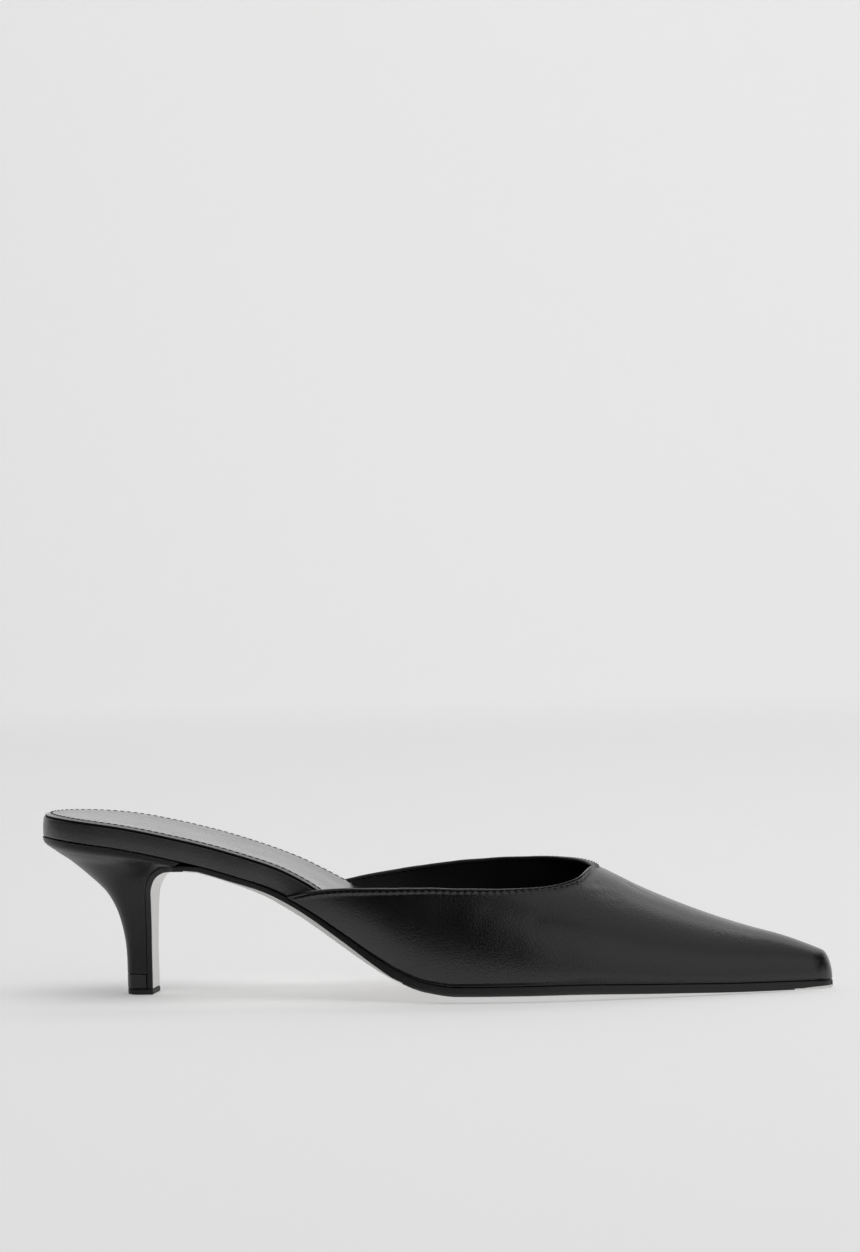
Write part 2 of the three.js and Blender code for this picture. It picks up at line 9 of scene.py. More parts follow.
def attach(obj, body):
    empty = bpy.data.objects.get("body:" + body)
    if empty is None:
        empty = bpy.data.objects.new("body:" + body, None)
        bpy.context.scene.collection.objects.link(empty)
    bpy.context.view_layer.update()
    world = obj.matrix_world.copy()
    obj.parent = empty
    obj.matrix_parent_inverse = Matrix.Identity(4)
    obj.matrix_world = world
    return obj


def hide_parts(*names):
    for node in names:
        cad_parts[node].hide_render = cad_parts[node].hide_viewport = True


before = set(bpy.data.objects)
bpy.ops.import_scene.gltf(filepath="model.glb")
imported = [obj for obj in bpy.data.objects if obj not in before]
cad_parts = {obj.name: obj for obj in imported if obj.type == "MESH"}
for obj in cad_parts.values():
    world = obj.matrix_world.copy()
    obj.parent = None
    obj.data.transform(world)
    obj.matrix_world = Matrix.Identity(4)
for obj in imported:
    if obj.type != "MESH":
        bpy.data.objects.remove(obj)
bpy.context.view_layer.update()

# A closed toe mule with a kitten heel, right shoe. The shapes are worked out in millimetres
# from the back of the seat (x 0) to the toe (x 262), then set down in the frame in metres.
shoe = {
    "length": 262.0,
    "seatWidth": 49.6,
    "waistWidth": 45.0,
    "ballWidth": 76.0,
    "heelRounding": 25.0,
    "toeRounding": 6.5,
    "noseRounding": 3.2,
    "archRise": 51.6,
    "throatHeight": 40.6,
    "soleEdgeLift": 2.2,
    "wall": 1.4,
    "platform": 6.3,
    "insole": 2.6,
    "sock": 1.0,
    "sockInset": 0.35,
    "sole": 2.9,
    "waistSole": 1.9,
    "soleReveal": 0.5,
    "soleBevel": 0.4,
    "seam": 0.3,
    "wingStart": 87.0,
    "throatStart": 184.2,
}


def table(columns, *rows):
    names = columns.split()
    return {name: np.array([row[i] for row in rows], float) for i, name in enumerate(names)}


def follow(rows, column, at):
    xs, ys = rows["at"], rows[column]
    at = np.clip(np.asarray(at, float), xs[0], xs[-1])
    i = np.clip(np.searchsorted(xs, at, side="left") - 1, 0, len(xs) - 2)
    slope = np.diff(ys) / np.diff(xs)
    before, after = slope[:-1], slope[1:]
    both = before + after
    middle = np.where(before * after > 0, 2 * before * after / np.where(both == 0, 1, both), 0)
    tangent = np.concatenate([slope[:1], middle, slope[-1:]])
    step = xs[i + 1] - xs[i]
    t = (at - xs[i]) / step
    start = ys[i] * (1 + 2 * t) * (1 - t) ** 2 + step * tangent[i] * t * (1 - t) ** 2
    end = ys[i + 1] * (3 - 2 * t) * t**2 + step * tangent[i + 1] * t**2 * (t - 1)
    return start + end


def blend(low, high, value):
    share = np.clip((np.asarray(value, float) - low) / (high - low), 0, 1)
    return share * share * (3 - 2 * share)


def rounded(distance, rounding):
    share = np.clip(1 - distance / rounding, 0, 1)
    return np.sqrt(1 - share * share)


def mound(distance, width):
    return np.exp(-((distance / width) ** 2))


def unit(vectors):
    return vectors / np.maximum(np.linalg.norm(vectors, axis=-1, keepdims=True), 1e-9)


def arcLength(points):
    return np.concatenate([[0], np.cumsum(np.linalg.norm(np.diff(points, axis=0), axis=1))])


# Half widths of the foot line, as shares of half the seat, waist or ball width
footLine = table(
    "at wide lateral medial",
    (0.00, shoe["seatWidth"], 0.93, 0.91),
    (0.10, shoe["seatWidth"], 1.00, 0.96),
    (0.17, shoe["seatWidth"], 0.99, 0.93),
    (0.24, shoe["waistWidth"], 1.03, 0.91),
    (0.29, shoe["waistWidth"], 1.02, 0.82),
    (0.34, shoe["waistWidth"], 1.10, 0.89),
    (0.40, shoe["ballWidth"], 0.76, 0.62),
    (0.46, shoe["ballWidth"], 0.89, 0.775),
    (0.52, shoe["ballWidth"], 0.97, 0.905),
    (0.58, shoe["ballWidth"], 1.00, 0.99),
    (0.63, shoe["ballWidth"], 0.98, 1.00),
    (0.70, shoe["ballWidth"], 0.89, 0.94),
    (0.78, shoe["ballWidth"], 0.73, 0.78),
    (0.86, shoe["ballWidth"], 0.54, 0.58),
    (0.93, shoe["ballWidth"], 0.355, 0.375),
    (0.97, shoe["ballWidth"], 0.245, 0.255),
    (1.00, shoe["ballWidth"], 0.165, 0.170),
)
for sideName in ("lateral", "medial"):
    footLine[sideName] = footLine[sideName] * footLine["wide"] / 2

# Underside of the sole along its middle: rise as a share of the arch rise, and how much of
# the full sole, edge lift and platform is there
soleLine = table(
    "at rise sole lift board",
    (0.00, 1.000, 0, 0, 1),
    (0.04, 0.983, 0, 0, 1),
    (0.10, 0.946, 0, 0, 1),
    (0.18, 0.862, 0, 0, 1),
    (0.24, 0.777, 0.15, 0, 1),
    (0.30, 0.663, 0.70, 0, 1),
    (0.33, 0.581, 1.00, 0.05, 1),
    (0.36, 0.486, 1.20, 0.15, 0.95),
    (0.40, 0.344, 1.40, 0.35, 0.6),
    (0.44, 0.206, 1.45, 0.55, 0.25),
    (0.475, 0.102, 1.22, 0.75, 0.05),
    (0.51, 0.031, 1.03, 0.90, 0),
    (0.55, 0, 1, 1, 0),
    (0.68, 0, 1, 1, 0),
    (0.80, 0, 1, 0.60, 0),
    (0.90, 0, 0.9, 0.25, 0),
    (1.00, 0, 0.7, 0.15, 0),
)

# Sections of the last: crest as a share of the throat height, the rest as shares of the half width
lastSections = table(
    "at crest ridge belly full crown",
    (0.33, 1.62, 0.05, 0.03, 0.42, 0.80),
    (0.38, 1.62, 0.05, 0.12, 0.42, 0.80),
    (0.44, 1.58, 0.06, 0.16, 0.46, 0.78),
    (0.50, 1.50, 0.08, 0.12, 0.52, 0.72),
    (0.56, 1.38, 0.10, 0.08, 0.56, 0.70),
    (0.61, 1.27, 0.11, 0.06, 0.58, 0.66),
    (0.66, 1.12, 0.12, 0.05, 0.60, 0.62),
    (0.703, 1.00, 0.10, 0.05, 0.60, 0.58),
    (0.77, 0.79, 0.09, 0.05, 0.62, 0.56),
    (0.84, 0.61, 0.08, 0.05, 0.64, 0.56),
    (0.90, 0.488, 0.06, 0.06, 0.66, 0.58),
    (0.93, 0.437, 0.045, 0.07, 0.68, 0.60),
    (0.95, 0.396, 0.03, 0.08, 0.70, 0.62),
    (0.975, 0.335, 0.015, 0.08, 0.73, 0.66),
    (1.00, 0.268, 0, 0.08, 0.75, 0.70),
)

# Heights of the topline as shares of the throat height, from the wing tips to the throat
topline = table(
    "at lateral medial",
    (0.332, 0.845, 0.825),
    (0.350, 0.868, 0.845),
    (0.367, 0.889, 0.863),
    (0.400, 0.909, 0.905),
    (0.450, 0.916, 0.952),
    (0.510, 0.914, 0.996),
    (0.560, 0.902, 1.018),
    (0.610, 0.892, 1.030),
    (0.650, 0.893, 1.034),
    (0.676, 0.912, 1.032),
    (0.692, 0.945, 1.020),
)


def halfWidth(x, side, inset=0.0):
    wide = follow(footLine, side, x / shoe["length"]) - inset
    toe = rounded(shoe["length"] - inset - x, shoe["toeRounding"])
    heel = rounded(x - inset, shoe["heelRounding"])
    return wide * toe * heel


def soleHeight(x):
    return shoe["archRise"] * follow(soleLine, "rise", x / shoe["length"])


def soleAt(x):
    extra = shoe["sole"] - shoe["waistSole"]
    return shoe["waistSole"] + extra * follow(soleLine, "sole", x / shoe["length"])


def boardAt(x):
    extra = shoe["platform"] - shoe["insole"]
    return shoe["insole"] + extra * follow(soleLine, "board", x / shoe["length"])


def edgeLift(x, y):
    flatShare, farthest = 0.3, 1.2
    at = x / shoe["length"]
    wide = np.where(y < 0, follow(footLine, "lateral", at), follow(footLine, "medial", at))
    curl = np.clip((np.abs(y) / wide - flatShare) / (1 - flatShare), 0, farthest)
    return shoe["soleEdgeLift"] * follow(soleLine, "lift", at) * curl**2


def soleNormal(x):
    step = 0.5
    slope = (soleHeight(x + step) - soleHeight(x - step)) / (2 * step)
    size = np.hypot(1, slope)
    return -slope / size, 1 / size


def featherHeight(x, y):
    return soleHeight(x) + (soleAt(x) + shoe["seam"]) / soleNormal(x)[1] + edgeLift(x, y)


def lastPoint(x, s, inset=0.0):
    # s is -1 on the lateral foot line, 0 on the ridge and 1 on the medial foot line
    x, s, inset = np.broadcast_arrays(np.asarray(x, float), np.asarray(s, float), np.asarray(inset, float))
    sign = np.where(s < 0, -1.0, 1.0)
    t = 1 - np.abs(s)
    at = x / shoe["length"]
    lateral, medial = halfWidth(x, "lateral", inset), halfWidth(x, "medial", inset)
    foot = np.where(s < 0, lateral, medial)
    low = featherHeight(x, sign * foot)
    floor = featherHeight(x, 0 * x)
    nose = rounded(shoe["length"] - inset - x, shoe["noseRounding"])
    crest = floor + (shoe["throatHeight"] * follow(lastSections, "crest", at) - inset - floor) * nose
    rise = crest - low
    ridge = follow(lastSections, "ridge", at) * (lateral + medial) / 2
    belly = foot * (1 + follow(lastSections, "belly", at))
    crown = foot * follow(lastSections, "crown", at)
    w = [(1 - t) ** 3, 3 * t * (1 - t) ** 2, 3 * t * t * (1 - t), t**3]
    y = sign * (w[0] * foot + w[1] * belly + w[2] * (crown + sign * ridge)) + w[3] * ridge
    z = low + rise * (w[1] * follow(lastSections, "full", at) + w[2] + w[3])
    return np.stack([x, y, z], -1)


def lastNormal(x, s):
    stepX, stepS = 0.05, 0.004
    end = shoe["length"] - 0.02
    forward = lastPoint(np.minimum(x + stepX, end), s) - lastPoint(np.minimum(x, end - stepX) - stepX, s)
    across = lastPoint(np.minimum(x, end), s + stepS) - lastPoint(np.minimum(x, end), s - stepS)
    return unit(np.cross(forward, across))


def shareUnder(x, sign, height, inset=0.0, highest=1.0):
    # How far up each section, as a share from its foot line, the last stays under the height
    low, high = np.zeros_like(x), np.full_like(x, highest)
    for _ in range(40):
        t = (low + high) / 2
        under = lastPoint(x, sign * (1 - t), inset)[..., 2] < height
        low, high = np.where(under, t, low), np.where(under, high, t)
    return (low + high) / 2


def smoothPath(points, perSpan):
    # A centripetal Catmull-Rom curve through the points, as a fine polyline
    points = np.asarray(points, float)
    points = np.vstack([2 * points[0] - points[1], points, 2 * points[-1] - points[-2]])
    t = np.linspace(0, 1, perSpan, endpoint=False)[:, None]
    spans = []
    for a, b, c, d in zip(points, points[1:], points[2:], points[3:]):
        gaps = [math.sqrt(np.linalg.norm(q - p)) for p, q in ((a, b), (b, c), (c, d))]
        start = ((b - a) / gaps[0] - (c - a) / (gaps[0] + gaps[1]) + (c - b) / gaps[1]) * gaps[1]
        end = ((c - b) / gaps[1] - (d - b) / (gaps[1] + gaps[2]) + (d - c) / gaps[2]) * gaps[1]
        bend = -3 * b + 3 * c - 2 * start - end
        twist = 2 * b - 2 * c + start + end
        spans.append(b + start * t + bend * t**2 + twist * t**3)
    return np.vstack([*spans, points[-2][None]])


def toplineShare(side, sign):
    x = topline["at"] * shoe["length"]
    stretch = shoe["ballWidth"]
    share = sign * (1 - shareUnder(x, sign, topline[side] * shoe["throatHeight"]))
    points = [(px, stretch * ps) for px, ps in zip(x, share)]
    points += [(shoe["throatStart"], 0.0), (2 * shoe["throatStart"] - points[-1][0], -points[-1][1])]
    perSpan = 240
    path = smoothPath(points, perSpan)[:-perSpan]
    return lambda at: np.interp(at, path[:, 0], path[:, 1]) / stretch


def toFrame(points):
    return (np.asarray(points, float) - [shoe["length"] / 2, 0, 0]) / 1000


def addObject(name, data):
    made = bpy.data.objects.new(name, data)
    bpy.context.scene.collection.objects.link(made)
    return made


def makeObject(name, points, faces, materials, faceSlots=None, sharpAngle=None):
    # Points in millimetres. Doubled points are joined and the faces turned outward.
    mesh = bpy.data.meshes.new(name)
    mesh.from_pydata(toFrame(points).tolist(), [], faces)
    for material in materials:
        mesh.materials.append(material)
    if faceSlots is not None:
        mesh.polygons.foreach_set("material_index", np.asarray(faceSlots, np.int32))
    work = bmesh.new()
    work.from_mesh(mesh)
    bmesh.ops.remove_doubles(work, verts=work.verts, dist=5e-7)
    bmesh.ops.dissolve_degenerate(work, edges=work.edges, dist=1e-8)
    if work.calc_volume(signed=True) < 0:
        bmesh.ops.reverse_faces(work, faces=work.faces)
    work.to_mesh(mesh)
    work.free()
    mesh.shade_smooth()
    if sharpAngle:
        mesh.set_sharp_from_angle(angle=math.radians(sharpAngle))
    return addObject(name, mesh)


def gridFaces(rows, columns, start=0, closed=False, flip=False):
    faces = []
    for i in range(rows - 1):
        low = start + i * columns
        high = low + columns
        for j in range(columns if closed else columns - 1):
            k = (j + 1) % columns
            corners = (low + j, low + k, high + k, high + j)
            faces.append(corners[::-1] if flip else corners)
    return faces


def closedStack(name, rings, materials, faceSlots=None, sharpAngle=None):
    # A tube of rings with a flat face at each end, in the first material
    count = rings.shape[1]
    faces = gridFaces(len(rings), count, closed=True)
    faces.append(tuple(range(count))[::-1])
    faces.append(tuple((len(rings) - 1) * count + k for k in range(count)))
    if faceSlots is not None:
        faceSlots = faceSlots + [0, 0]
    return makeObject(name, rings.reshape(-1, 3), faces, materials, faceSlots, sharpAngle)


# Materials

def addNode(tree, kind, inputs=None, **settings):
    node = tree.nodes.new(kind)
    for key, value in settings.items():
        setattr(node, key, value)
    for key, value in (inputs or {}).items():
        if isinstance(value, bpy.types.NodeSocket):
            tree.links.new(value, node.inputs[key])
        else:
            node.inputs[key].default_value = value
    return node


def mathNode(tree, operation, first, second):
    return addNode(tree, "ShaderNodeMath", {0: first, 1: second}, operation=operation).outputs[0]


def groupSocket(group, name, kind, inOut, value=None):
    socket = group.interface.new_socket(name=name, in_out=inOut, socket_type=kind)
    if value is not None:
        socket.default_value = value


def shaderGroup(name, outputs, **inputs):
    group = bpy.data.node_groups.new(name, "ShaderNodeTree")
    for key, value in inputs.items():
        groupSocket(group, key, "NodeSocketFloat", "INPUT", value)
    for key in outputs:
        groupSocket(group, key, "NodeSocketFloat", "OUTPUT")
    return group, group.nodes.new("NodeGroupInput").outputs, group.nodes.new("NodeGroupOutput").inputs


# Noise scales are per metre, the sway is in metres
grainNoise = {
    "swayScale": 900.0,
    "sway": 0.0005,
    "smoothness": 0.35,
    "poreScale": 5200.0,
    "cloudScale": 55.0,
}
wearFrom, wearTo = 0.51, 0.60  # how far an edge bulges before it is worn and, on the upper, lightened as a painted highlight


def makeGrainGroup():
    # Leather grain: small uneven cells, fine pores between them and a slow unevenness
    group, source, result = shaderGroup(
        "leatherGrain", ("height", "cloud"), cellSize=0.5, poreShare=0.5, unevenness=0.5
    )
    place = addNode(group, "ShaderNodeTexCoord").outputs["Object"]

    def noise(scale, detail):
        inputs = {"Vector": place, "Scale": scale, "Detail": detail}
        return addNode(group, "ShaderNodeTexNoise", inputs).outputs

    sway = noise(grainNoise["swayScale"], 2.0)["Color"]
    shift = addNode(group, "ShaderNodeVectorMath", {0: sway, "Scale": grainNoise["sway"]}, operation="SCALE")
    moved = addNode(group, "ShaderNodeVectorMath", {0: place, 1: shift.outputs["Vector"]}, operation="ADD")
    scale = mathNode(group, "DIVIDE", 1000.0, source["cellSize"])
    cells = {"Vector": moved.outputs["Vector"], "Scale": scale, "Smoothness": grainNoise["smoothness"]}
    cells = addNode(group, "ShaderNodeTexVoronoi", cells, feature="SMOOTH_F1")
    pores = noise(grainNoise["poreScale"], 3.0)["Fac"]
    cloud = noise(grainNoise["cloudScale"], 3.0)["Fac"]
    height = mathNode(group, "SUBTRACT", 1.0, cells.outputs["Distance"])
    height = mathNode(group, "ADD", height, mathNode(group, "MULTIPLY", pores, source["poreShare"]))
    height = mathNode(group, "ADD", height, mathNode(group, "MULTIPLY", cloud, source["unevenness"]))
    group.links.new(height, result["height"])
    group.links.new(cloud, result["cloud"])
    return group


def makeWearAndHighlightGroup():
    # A mask that is strong on outward edges, broken up by noise. It lays on edge wear, and on the upper it
    # lightens the topline's puckers and other bulges as a painted highlight.
    group, source, result = shaderGroup("edgeWearAndHighlight", ("mask",), amount=0.3, patchSize=3.0)
    place = addNode(group, "ShaderNodeTexCoord").outputs["Object"]
    bulge = addNode(group, "ShaderNodeNewGeometry").outputs["Pointiness"]
    edge = addNode(group, "ShaderNodeMapRange", {"Value": bulge, "From Min": wearFrom, "From Max": wearTo})
    scale = mathNode(group, "DIVIDE", 1000.0, source["patchSize"])
    patch = addNode(group, "ShaderNodeTexNoise", {"Vector": place, "Scale": scale, "Detail": 4.0})
    broken = mathNode(group, "MULTIPLY", edge.outputs["Result"], patch.outputs["Fac"])
    wornAndHighlit = mathNode(group, "MULTIPLY", broken, source["amount"])
    wornAndHighlit.node.use_clamp = True
    group.links.new(wornAndHighlit, result["mask"])
    return group


grainGroup = makeGrainGroup()
wearGroup = makeWearAndHighlightGroup()


def leatherMaterial(name, **changes):
    look = {**upperLook, **changes}
    material = bpy.data.materials.new(name)
    material.use_nodes = True
    tree = material.node_tree
    shader = tree.nodes["Principled BSDF"].inputs
    shader["Specular IOR Level"].default_value = look["specular"]
    shader["Coat Roughness"].default_value = look["coatRoughness"]
    shader["Coat Weight"].default_value = look["coat"]
    cells = {key: look[key] for key in ("cellSize", "poreShare", "unevenness")}
    grain = addNode(tree, "ShaderNodeGroup", cells, node_tree=grainGroup).outputs
    wear = addNode(tree, "ShaderNodeGroup", {"amount": look["wear"]}, node_tree=wearGroup)
    tones = {"A": (*look["dark"], 1), "B": (*look["light"], 1), "Factor": grain["cloud"]}
    tone = addNode(tree, "ShaderNodeMix", tones, data_type="RGBA").outputs["Result"]
    # On bulging edges the colour turns to the rubbed tone: wear, and on the upper a painted highlight.
    wornAndHighlit = {"A": tone, "B": (*look["rubbed"], 1), "Factor": wear.outputs["mask"]}
    colour = addNode(tree, "ShaderNodeMix", wornAndHighlit, data_type="RGBA").outputs["Result"]
    tree.links.new(colour, shader["Base Color"])
    low, high = (look["roughness"] + sign * look["glossSpread"] for sign in (-1, 1))
    gloss = {"Value": grain["cloud"], "From Min": 0.3, "From Max": 0.7, "To Min": low, "To Max": high}
    tree.links.new(addNode(tree, "ShaderNodeMapRange", gloss).outputs["Result"], shader["Roughness"])
    relief = {"Height": grain["height"], "Strength": look["grainStrength"]}
    relief["Distance"] = look["grainDepth"] / 1000
    tree.links.new(addNode(tree, "ShaderNodeBump", relief).outputs["Normal"], shader["Normal"])
    return material


def grey(tone, blue=0.0):
    return tone, tone, tone + blue


upperLook = {
    "dark": grey(0.0045, 0.0002),
    "light": grey(0.0065, 0.0002),
    # Lighter than the leather: laid on bulging edges as wear and as a painted highlight on the puckers.
    "rubbed": grey(0.03),
    "roughness": 0.30,
    "specular": 0.5,
    "coat": 0.35,
    "coatRoughness": 0.24,
    "cellSize": 0.55,
    "poreShare": 0.35,
    "unevenness": 1.6,
    "grainStrength": 0.85,
    "grainDepth": 0.09,
    "glossSpread": 0.03,
    "wear": 0.4,
}


threadLook = {
    "dark": grey(0.003),
    "light": grey(0.008),
    "plyScale": 1400.0,
    "plyWaver": 0.4,
    "plyStrength": 0.5,
    "plyDepth": 0.05,
    "roughness": 0.75,
    "specular": 0.15,
}


def makeThread():
    # Twisted thread: its plies run as slanted bands along the stitch
    material = bpy.data.materials.new("thread")
    material.use_nodes = True
    tree = material.node_tree
    shader = tree.nodes["Principled BSDF"].inputs
    place = addNode(tree, "ShaderNodeTexCoord").outputs["Object"]
    bands = {"Vector": place, "Scale": threadLook["plyScale"], "Distortion": threadLook["plyWaver"]}
    plies = addNode(tree, "ShaderNodeTexWave", bands).outputs["Fac"]
    tones = {"A": (*threadLook["dark"], 1), "B": (*threadLook["light"], 1), "Factor": plies}
    tone = addNode(tree, "ShaderNodeMix", tones, data_type="RGBA")
    tree.links.new(tone.outputs["Result"], shader["Base Color"])
    shader["Roughness"].default_value = threadLook["roughness"]
    shader["Specular IOR Level"].default_value = threadLook["specular"]
    relief = {"Height": plies, "Strength": threadLook["plyStrength"]}
    relief["Distance"] = threadLook["plyDepth"] / 1000
    bump = addNode(tree, "ShaderNodeBump", relief)
    tree.links.new(bump.outputs["Normal"], shader["Normal"])
    return material


upperLeather = leatherMaterial("upperLeather")
liningLeather = leatherMaterial(
    "liningLeather", dark=grey(0.012), light=grey(0.016), roughness=0.45, coat=0.0
)
wrapLeather = leatherMaterial(
    "wrapLeather", dark=grey(0.028, 0.0005), light=grey(0.034, 0.0006), roughness=0.36
)
sockLeather = leatherMaterial(
    "sockLeather", dark=grey(0.022, 0.0005), light=grey(0.03, 0.0005), roughness=0.26, specular=0.7,
    coat=0.7, coatRoughness=0.2, cellSize=0.7, grainStrength=0.25, unevenness=2.2,
)
heelLeather = leatherMaterial(
    "heelLeather", dark=grey(0.006, 0.0003), light=grey(0.009, 0.0003), roughness=0.36, coat=0.05,
    specular=0.38,
)
# Black edge dye. Under the forepart it is also laid in under the sole as painted shade.
edgeDyeAndShade = leatherMaterial(
    "edgeDyeAndShade", dark=grey(0.006), light=grey(0.009), roughness=0.42, coat=0.0, cellSize=0.25,
    grainStrength=0.5,
)
# Near black: painted shade for the gap between the sock's edge and the platform wrap.
sockGapShade = leatherMaterial(
    "sockGapShade", dark=grey(0.003), light=grey(0.004), rubbed=grey(0.005), roughness=0.6, coat=0.0,
    specular=0.15,
)
soleLeather = leatherMaterial(
    "soleLeather", dark=(0.83, 0.818, 0.805), light=(0.87, 0.858, 0.845), rubbed=(0.76, 0.745, 0.72),
    roughness=0.5, coat=0.0, cellSize=0.35, grainStrength=0.3, unevenness=0.8, wear=0.35,
)
tipPlastic = leatherMaterial(
    "tipPlastic", dark=grey(0.008), light=grey(0.011), roughness=0.36, coat=0.0, cellSize=1.2,
    grainStrength=0.12, unevenness=0.4,
)
liftRubber = leatherMaterial(
    "liftRubber", dark=grey(0.008), light=grey(0.012), roughness=0.62, coat=0.0, cellSize=0.3,
    grainStrength=0.6, unevenness=0.3, wear=0.3,
)
thread = makeThread()
print("materials made")


# The upper: one shell with a turned topline, a stitched groove below it and soft creases

upper = {
    "quarterStations": 300,
    "vampStations": 96,
    "outerRows": 26,
    "innerRows": 12,
    "turnRadius": 0.6,
    "bead": 0.20,
    "beadAt": 0.55,
    "beadWidth": 0.26,
    "groove": -0.4,
    "grooveAt": 1.08,
    "grooveWidth": 0.25,
    "swell": 0.5,
    "swellAt": 1.7,
    "swellWidth": 0.42,
    "puckers": {"bead": 0.12, "groove": -0.3, "swell": 0.5},
    "stitchPitch": 2.3,
    "wingFade": 10.0,
    "skinDepth": (6, 16),
    "toeEasing": 1.6,
    "creaseSpots": 14,
    "seamEnds": 140,
    "seamStep": 6,
    "threadRise": 0.06,
    "liningRise": 0.02,
}
edgeSteps = [0, 0.03, 0.09, 0.18, 0.3, 0.44, 0.6, 0.76, 0.92, 1.08, 1.24, 1.4, 1.56, 1.74, 1.95]
edgeSteps += [2.2, 2.5, 2.9, 3.4, 4.1]
innerSteps = [0, 0.04, 0.14, 0.3, 0.5, 0.8, 1.3, 2.2, 4.1]

# Creases in the leather run between two spots, each a place along the shoe and a share of the
# section. Depth and width are in millimetres.
creases = table(
    "x share endX endShare depth width",
    (184, -0.33, 191, -0.26, 0.4, 0.8),
    (187, -0.39, 195, -0.31, 0.38, 0.8),
    (190, -0.46, 198, -0.38, 0.3, 0.9),
    (186, -0.42, 196, -0.33, 0.2, 1.3),
    (194, -0.06, 203, -0.12, 0.16, 1.3),
    (188, 0.22, 198, 0.10, 0.22, 1.2),
    (168, -0.72, 176, -0.56, 0.12, 2.6),
    (150, -0.80, 156, -0.66, 0.10, 3.0),
    (160, 0.80, 166, 0.62, 0.12, 3.0),
)

toplineOf = {-1: toplineShare("lateral", -1.0), 1: toplineShare("medial", 1.0)}


def toplineRun(count=1500):
    # The whole topline, from the lateral wing tip over the throat to the medial wing tip
    angle = np.linspace(0, math.pi / 2, count)
    x = shoe["wingStart"] + (shoe["throatStart"] - shoe["wingStart"]) * np.sin(angle)
    xs = np.concatenate([x, x[-2::-1]])
    shares = np.concatenate([toplineOf[-1](x), toplineOf[1](x)[-2::-1]])
    points = lastPoint(xs, shares)
    return xs, shares, points, arcLength(points)


toplineX, toplineS, toplinePoints, toplineArc = toplineRun()


def nearestOnTopline(points):
    tree = kdtree.KDTree(len(toplinePoints))
    for i, point in enumerate(toplinePoints):
        tree.insert(point, i)
    tree.balance()
    found = [tree.find(point) for point in points.reshape(-1, 3)]
    distance = np.array([f[2] for f in found]).reshape(points.shape[:-1])
    arc = toplineArc[[f[1] for f in found]].reshape(points.shape[:-1])
    return distance, arc


def edgeTurn(distance):
    radius = upper["turnRadius"]
    left = np.clip(radius - distance, 0, radius)
    return radius - np.sqrt(radius**2 - left**2)


def creaseDepth(points):
    # How deep the nearest crease is at each point
    deepest = np.zeros(points.shape[:-1])
    along = np.linspace(0, 1, upper["creaseSpots"])
    fade = np.sin(math.pi * (0.08 + 0.84 * along))  # shallow at both ends
    for x, share, endX, endShare, depth, width in zip(*creases.values()):
        centres = lastPoint(x + (endX - x) * along, share + (endShare - share) * along)
        for centre, deep in zip(centres, depth * fade):
            near = np.linalg.norm(points - centre, axis=-1)
            deepest = np.maximum(deepest, deep * mound(near, width))
    return deepest


def outerRelief(points, distance, arc):
    # The bead, the sewn groove and the swell below it, which the stitches pull into puckers
    fade = blend(shoe["wingStart"], shoe["wingStart"] + upper["wingFade"], points[..., 0])
    pull = np.cos(2 * math.pi * arc / upper["stitchPitch"])
    relief = 0
    for part, pulled in upper["puckers"].items():
        shape = mound(distance - upper[part + "At"], upper[part + "Width"])
        relief = relief + upper[part] * shape * (1 + pulled * pull)
    return relief * fade - creaseDepth(points)


def sideGrid(sign):
    # Outside from the topline down, inside from the topline down, at every station
    angle = np.linspace(0, math.pi / 2, upper["quarterStations"] + 1)[:-1]
    quarter = shoe["wingStart"] + (shoe["throatStart"] - shoe["wingStart"]) * np.sin(angle)
    nearThroat = shoe["throatStart"] + np.array(edgeSteps)
    left = np.linspace(0, 1, upper["vampStations"] - len(edgeSteps) + 1)[1:]
    start = nearThroat[-1]
    rest = start + (shoe["length"] - start) * (1 - (1 - left) ** upper["toeEasing"])
    x = np.concatenate([quarter, nearThroat, rest])
    start = np.where(x < shoe["throatStart"], toplineOf[sign](x), 0.0)
    tall = np.linalg.norm(lastPoint(x, start) - lastPoint(x, sign + 0 * x), axis=-1)
    grids = []
    for steps, rows in ((edgeSteps, upper["outerRows"]), (innerSteps, upper["innerRows"])):
        steps = np.array(steps)
        scale = np.minimum(1, 0.5 * tall / steps[-1])
        near = steps[None, :] * (scale / np.maximum(tall, 1e-6))[:, None]
        last = near[:, -1:]
        share = np.linspace(0, 1, rows + 1)[None, 1:]
        grids.append(np.concatenate([near, last + (1 - last) * share], axis=1))
    return x, start, grids


